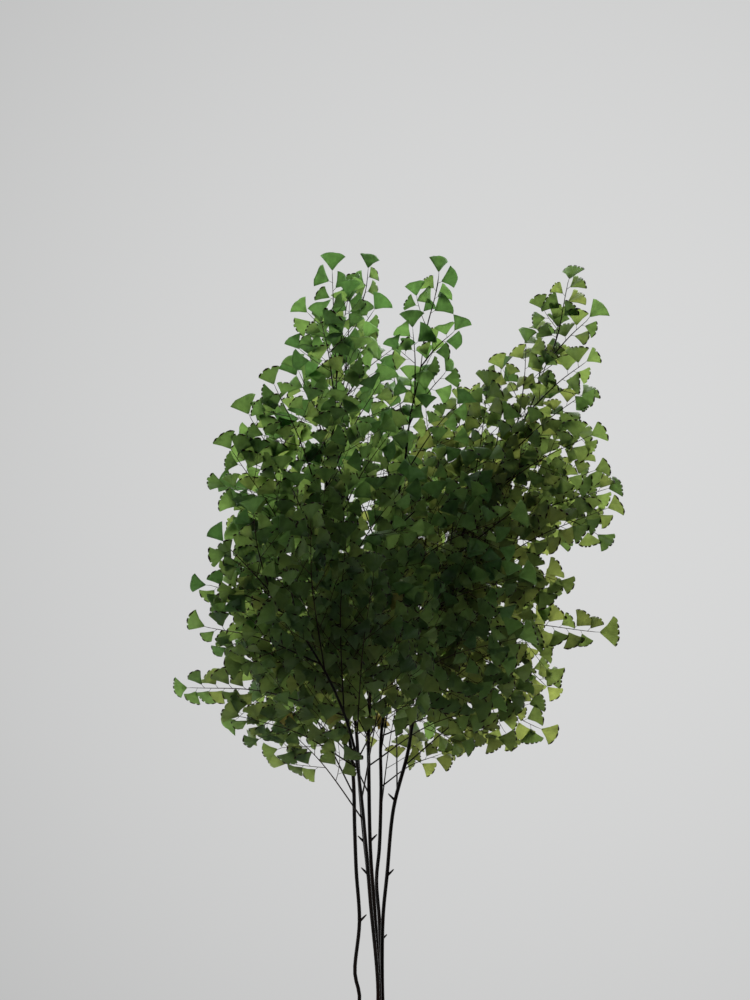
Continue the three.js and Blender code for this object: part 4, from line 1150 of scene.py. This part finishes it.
class FERN_OT_soil(bpy.types.Operator):
    """Build the soil with its crumbs"""

    bl_idname = "fern.soil"
    bl_label = "Soil"

    def place(self, angle, radius, z):
        """A point of the plug. Without a height of its own it lies on the top: a low mound with broad and
        fine waves, and with lumps that end at the wall."""
        x, y = radius * math.cos(angle), radius * math.sin(angle)
        if z is None:
            share = math.hypot(x, y) / (SOIL_BOX[1].x / MM)
            broad = math.sin(x / 5.1 + 1.3) * math.cos(y / 4.3)
            fine = math.sin((x + y) / 3.1) * math.cos((x - y) / 6.7)
            spot = Vector((x / 2.6, y / 2.6, 0.0))
            lumps = noise.noise(spot) + 0.5 * noise.noise(2.3 * spot)
            z = SOIL_Z + 3 * (1 - share * share) + 0.8 * broad + 0.56 * fine + 0.7 * lumps * (1 - share ** 6)
        return x, y, z

    def plug(self):
        """The filling of the pot, with a fine uneven top."""
        side, low = SOIL_BOX[1].x / MM, SOIL_BOX[0].z / MM
        profile = [(side * ring / PLUG_RINGS, None) for ring in range(PLUG_RINGS + 1)]
        profile += [((side - 1.5) * 0.98, 90.0), (side * 0.83, low + 4), (side * 0.76, low)]
        bm = lathe(profile, PLUG_SIDES, self.place)
        top = bm.faces.layers.bool.new("top")
        for face in list(bm.faces)[:PLUG_RINGS * PLUG_SIDES]:
            face[top] = True
        mesh = mesh_of(bm, "soil_plug")
        mesh.shade_smooth()
        return new_object("soil_plug", mesh)

    def crumb(self, name, seed, is_grain, size, stock):
        """A rough lump of 42 corners, flat or round by its seed."""
        bm = bmesh.new()
        bmesh.ops.create_icosphere(bm, subdivisions=2, radius=size / 2)
        squash = Vector((1, lerp(0.55, 1, draw(seed, 1)), lerp(0.4, 0.9, draw(seed, 2))))
        for vertex in bm.verts:
            rough = 1 + 0.45 * noise.noise(vertex.co / size * 2.2 + Vector((seed, 0, 0)))
            vertex.co = vertex.co * squash * rough
        mineral = bm.faces.layers.bool.new("mineral")
        for face in bm.faces:
            face[mineral] = is_grain
            face.smooth = True
        new_object(name, mesh_of(bm, name), stock)

    def execute(self, context):
        given = context.scene.fern_soil
        stock = bpy.data.collections.new("crumb_shapes")
        grains = round(CRUMB_SHAPES * given.grain_share)
        for i in range(CRUMB_SHAPES):
            is_grain = i < grains
            size = given.crumb_size * (GRAIN_SIZE if is_grain else 1.0)
            self.crumb(f"crumb_{i:02}", i + 1, is_grain, size, stock)
        piece = grown(self.plug(), crumb_tree(), {
            "Crumbs": stock, "Per Square Metre": given.crumbs,
            "Smallest": CRUMB_SCALES[0], "Largest": CRUMB_SCALES[1], "Seed": given.seed,
            "Soil": potting_mix(given), "Grain": puffed_mineral()}, "potting_soil")
        settle(piece, "soil")
        return {"FINISHED"}


class FERN_OT_fronds(bpy.types.Operator):
    """Grow the six fronds"""

    bl_idname = "fern.fronds"
    bl_label = "Fronds"

    def execute(self, context):
        given = context.scene.fern_fronds
        blade, stalk = living_blade(given), polished_stalk(given)
        stock = bpy.data.collections.new("leaflet_shapes")
        kinds = [("young", i) for i in range(given.young_kinds)]
        kinds += [("ripe", 100 + i) for i in range(given.ripe_kinds)]
        for number, (kind, seed) in enumerate(kinds):
            name = f"leaflet_{number:02}"
            new_object(name, leaflet_mesh(name, kind, seed, given.thickness / MM), stock)
        tree = growth_tree()
        for index, frond in enumerate(FRONDS, start=1):
            plan = frond_seed_object(frond, index, given.young_kinds, given.ripe_kinds)
            piece = grown(plan, tree, {
                "Leaflets": stock, "Stalk Sides": STALK_SIDES, "Rib Sides": RIB_SIDES,
                "Size Change": given.size_change, "Seed": given.seed + index, "Blade": blade,
                "Stalk": stalk}, f"leafy_{frond['name']}")
            settle(piece, frond["name"])
        return {"FINISHED"}


class FERN_OT_stage(bpy.types.Operator):
    """Set up the floor, the light and the camera"""

    bl_idname = "fern.stage"
    bl_label = "Stage"

    def floor(self, given):
        bm = bmesh.new()
        bmesh.ops.create_circle(bm, cap_ends=True, segments=180, radius=given.floor_radius)
        floor = new_object("floor", mesh_of(bm, "floor"))
        floor.data.materials.append(paper_sweep(given))

    def world(self):
        """A pale room: the camera sees a soft grey wall, and most light comes from behind and above."""
        world = bpy.data.worlds.new("studio")
        world.use_nodes = True
        tree = world.node_tree
        tree.nodes.clear()
        way = add(tree, "ShaderNodeTexCoord", give="Generated")
        x, y, z = add(tree, "ShaderNodeSeparateXYZ", (way,), None).outputs

        # The wall is brightest near the middle of the picture
        away = 0.0
        for part, middle in ((x, 0.1), (z, 0.02)):
            off = add(tree, MATH, (part, middle), operation="SUBTRACT")
            away = add(tree, MATH, (off, off, away), operation="MULTIPLY_ADD")
        wall = add(tree, RANGE, (away, 0.0, 0.16, 0.69, 0.49))
        seen = add(tree, "ShaderNodeBackground", {"Color": WALL_TINT, "Strength": wall})

        behind, not_below, above, left, not_before = (add(tree, RANGE, each) for each in (
            (y, -0.1, 0.9, 0.02, 2.8), (z, -0.5, 0.05, 0.2, 1.0), (z, 0.2, 1.0, 0.0, 0.2),
            (x, -0.25, -0.9, 0.0, 1.2), (y, -0.2, 0.3)))
        power = add(tree, MATH, (behind, not_below, above), operation="MULTIPLY_ADD")
        power = add(tree, MATH, (left, not_before, power), operation="MULTIPLY_ADD")
        light = add(tree, "ShaderNodeBackground", {"Color": LIGHT_TINT, "Strength": power})
        for_camera = add(tree, "ShaderNodeLightPath", give="Is Camera Ray")
        mixed = add(tree, "ShaderNodeMixShader", (for_camera, light, seen))
        add(tree, "ShaderNodeOutputWorld", {"Surface": mixed}, None)
        bpy.context.scene.world = world

    def softbox(self, name, place, aim, size, power, opening):
        data = bpy.data.lights.new(name, "AREA")
        data.shape = "SQUARE"
        data.spread = math.radians(opening)
        data.size = size
        data.energy = power
        lamp = new_object(name, data)
        lamp.location = place
        lamp.rotation_euler = (Vector(aim) - Vector(place)).to_track_quat("-Z", "Y").to_euler()
        lamp.visible_camera = False

    def camera(self, given):
        data = bpy.data.cameras.new("camera")
        data.sensor_width = 36
        data.lens = data.sensor_width / 2 / (given.seen_height / 2 / given.distance)
        camera = new_object("camera", data)
        camera.location = (0, -given.distance, given.eye_height)
        camera.rotation_euler = (math.radians(90), 0, 0)
        bpy.context.scene.camera = camera

    def execute(self, context):
        given = context.scene.fern_stage
        self.floor(given)
        self.world()
        for name, place, aim, size, share, opening in SOFTBOXES:
            self.softbox(name, place, aim, size, given.softbox_power * share, opening)
        self.camera(given)
        context.scene.view_settings.view_transform = "Standard"
        return {"FINISHED"}


class FERN_PT_panel(bpy.types.Panel):
    """The fern's settings and build steps"""

    bl_idname = "FERN_PT_panel"
    bl_label = "Maidenhair Fern"
    bl_space_type = "VIEW_3D"
    bl_region_type = "UI"
    bl_category = "Fern"

    def draw(self, context):
        for operator, group, _ in STEPS:
            box = self.layout.box()
            settings = getattr(context.scene, group)
            for name in settings.__annotations__:
                box.prop(settings, name)
            box.operator(operator)


STEPS = (
    ("fern.pot", "fern_pot", PotSettings),
    ("fern.soil", "fern_soil", SoilSettings),
    ("fern.fronds", "fern_fronds", FrondSettings),
    ("fern.stage", "fern_stage", StageSettings),
)
CLASSES = (PotSettings, SoilSettings, FrondSettings, StageSettings,
           FERN_OT_pot, FERN_OT_soil, FERN_OT_fronds, FERN_OT_stage, FERN_PT_panel)


def register():
    for each in CLASSES:
        bpy.utils.register_class(each)
    for _, name, group in STEPS:
        setattr(bpy.types.Scene, name, PointerProperty(type=group))


def unregister():
    for _, name, _ in STEPS:
        delattr(bpy.types.Scene, name)
    for each in reversed(CLASSES):
        bpy.utils.unregister_class(each)


def main():
    register()
    bpy.ops.fern.pot()
    bpy.ops.fern.soil()
    bpy.ops.fern.fronds()
    bpy.ops.fern.stage()
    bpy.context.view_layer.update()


if __name__ == "__main__":
    main()
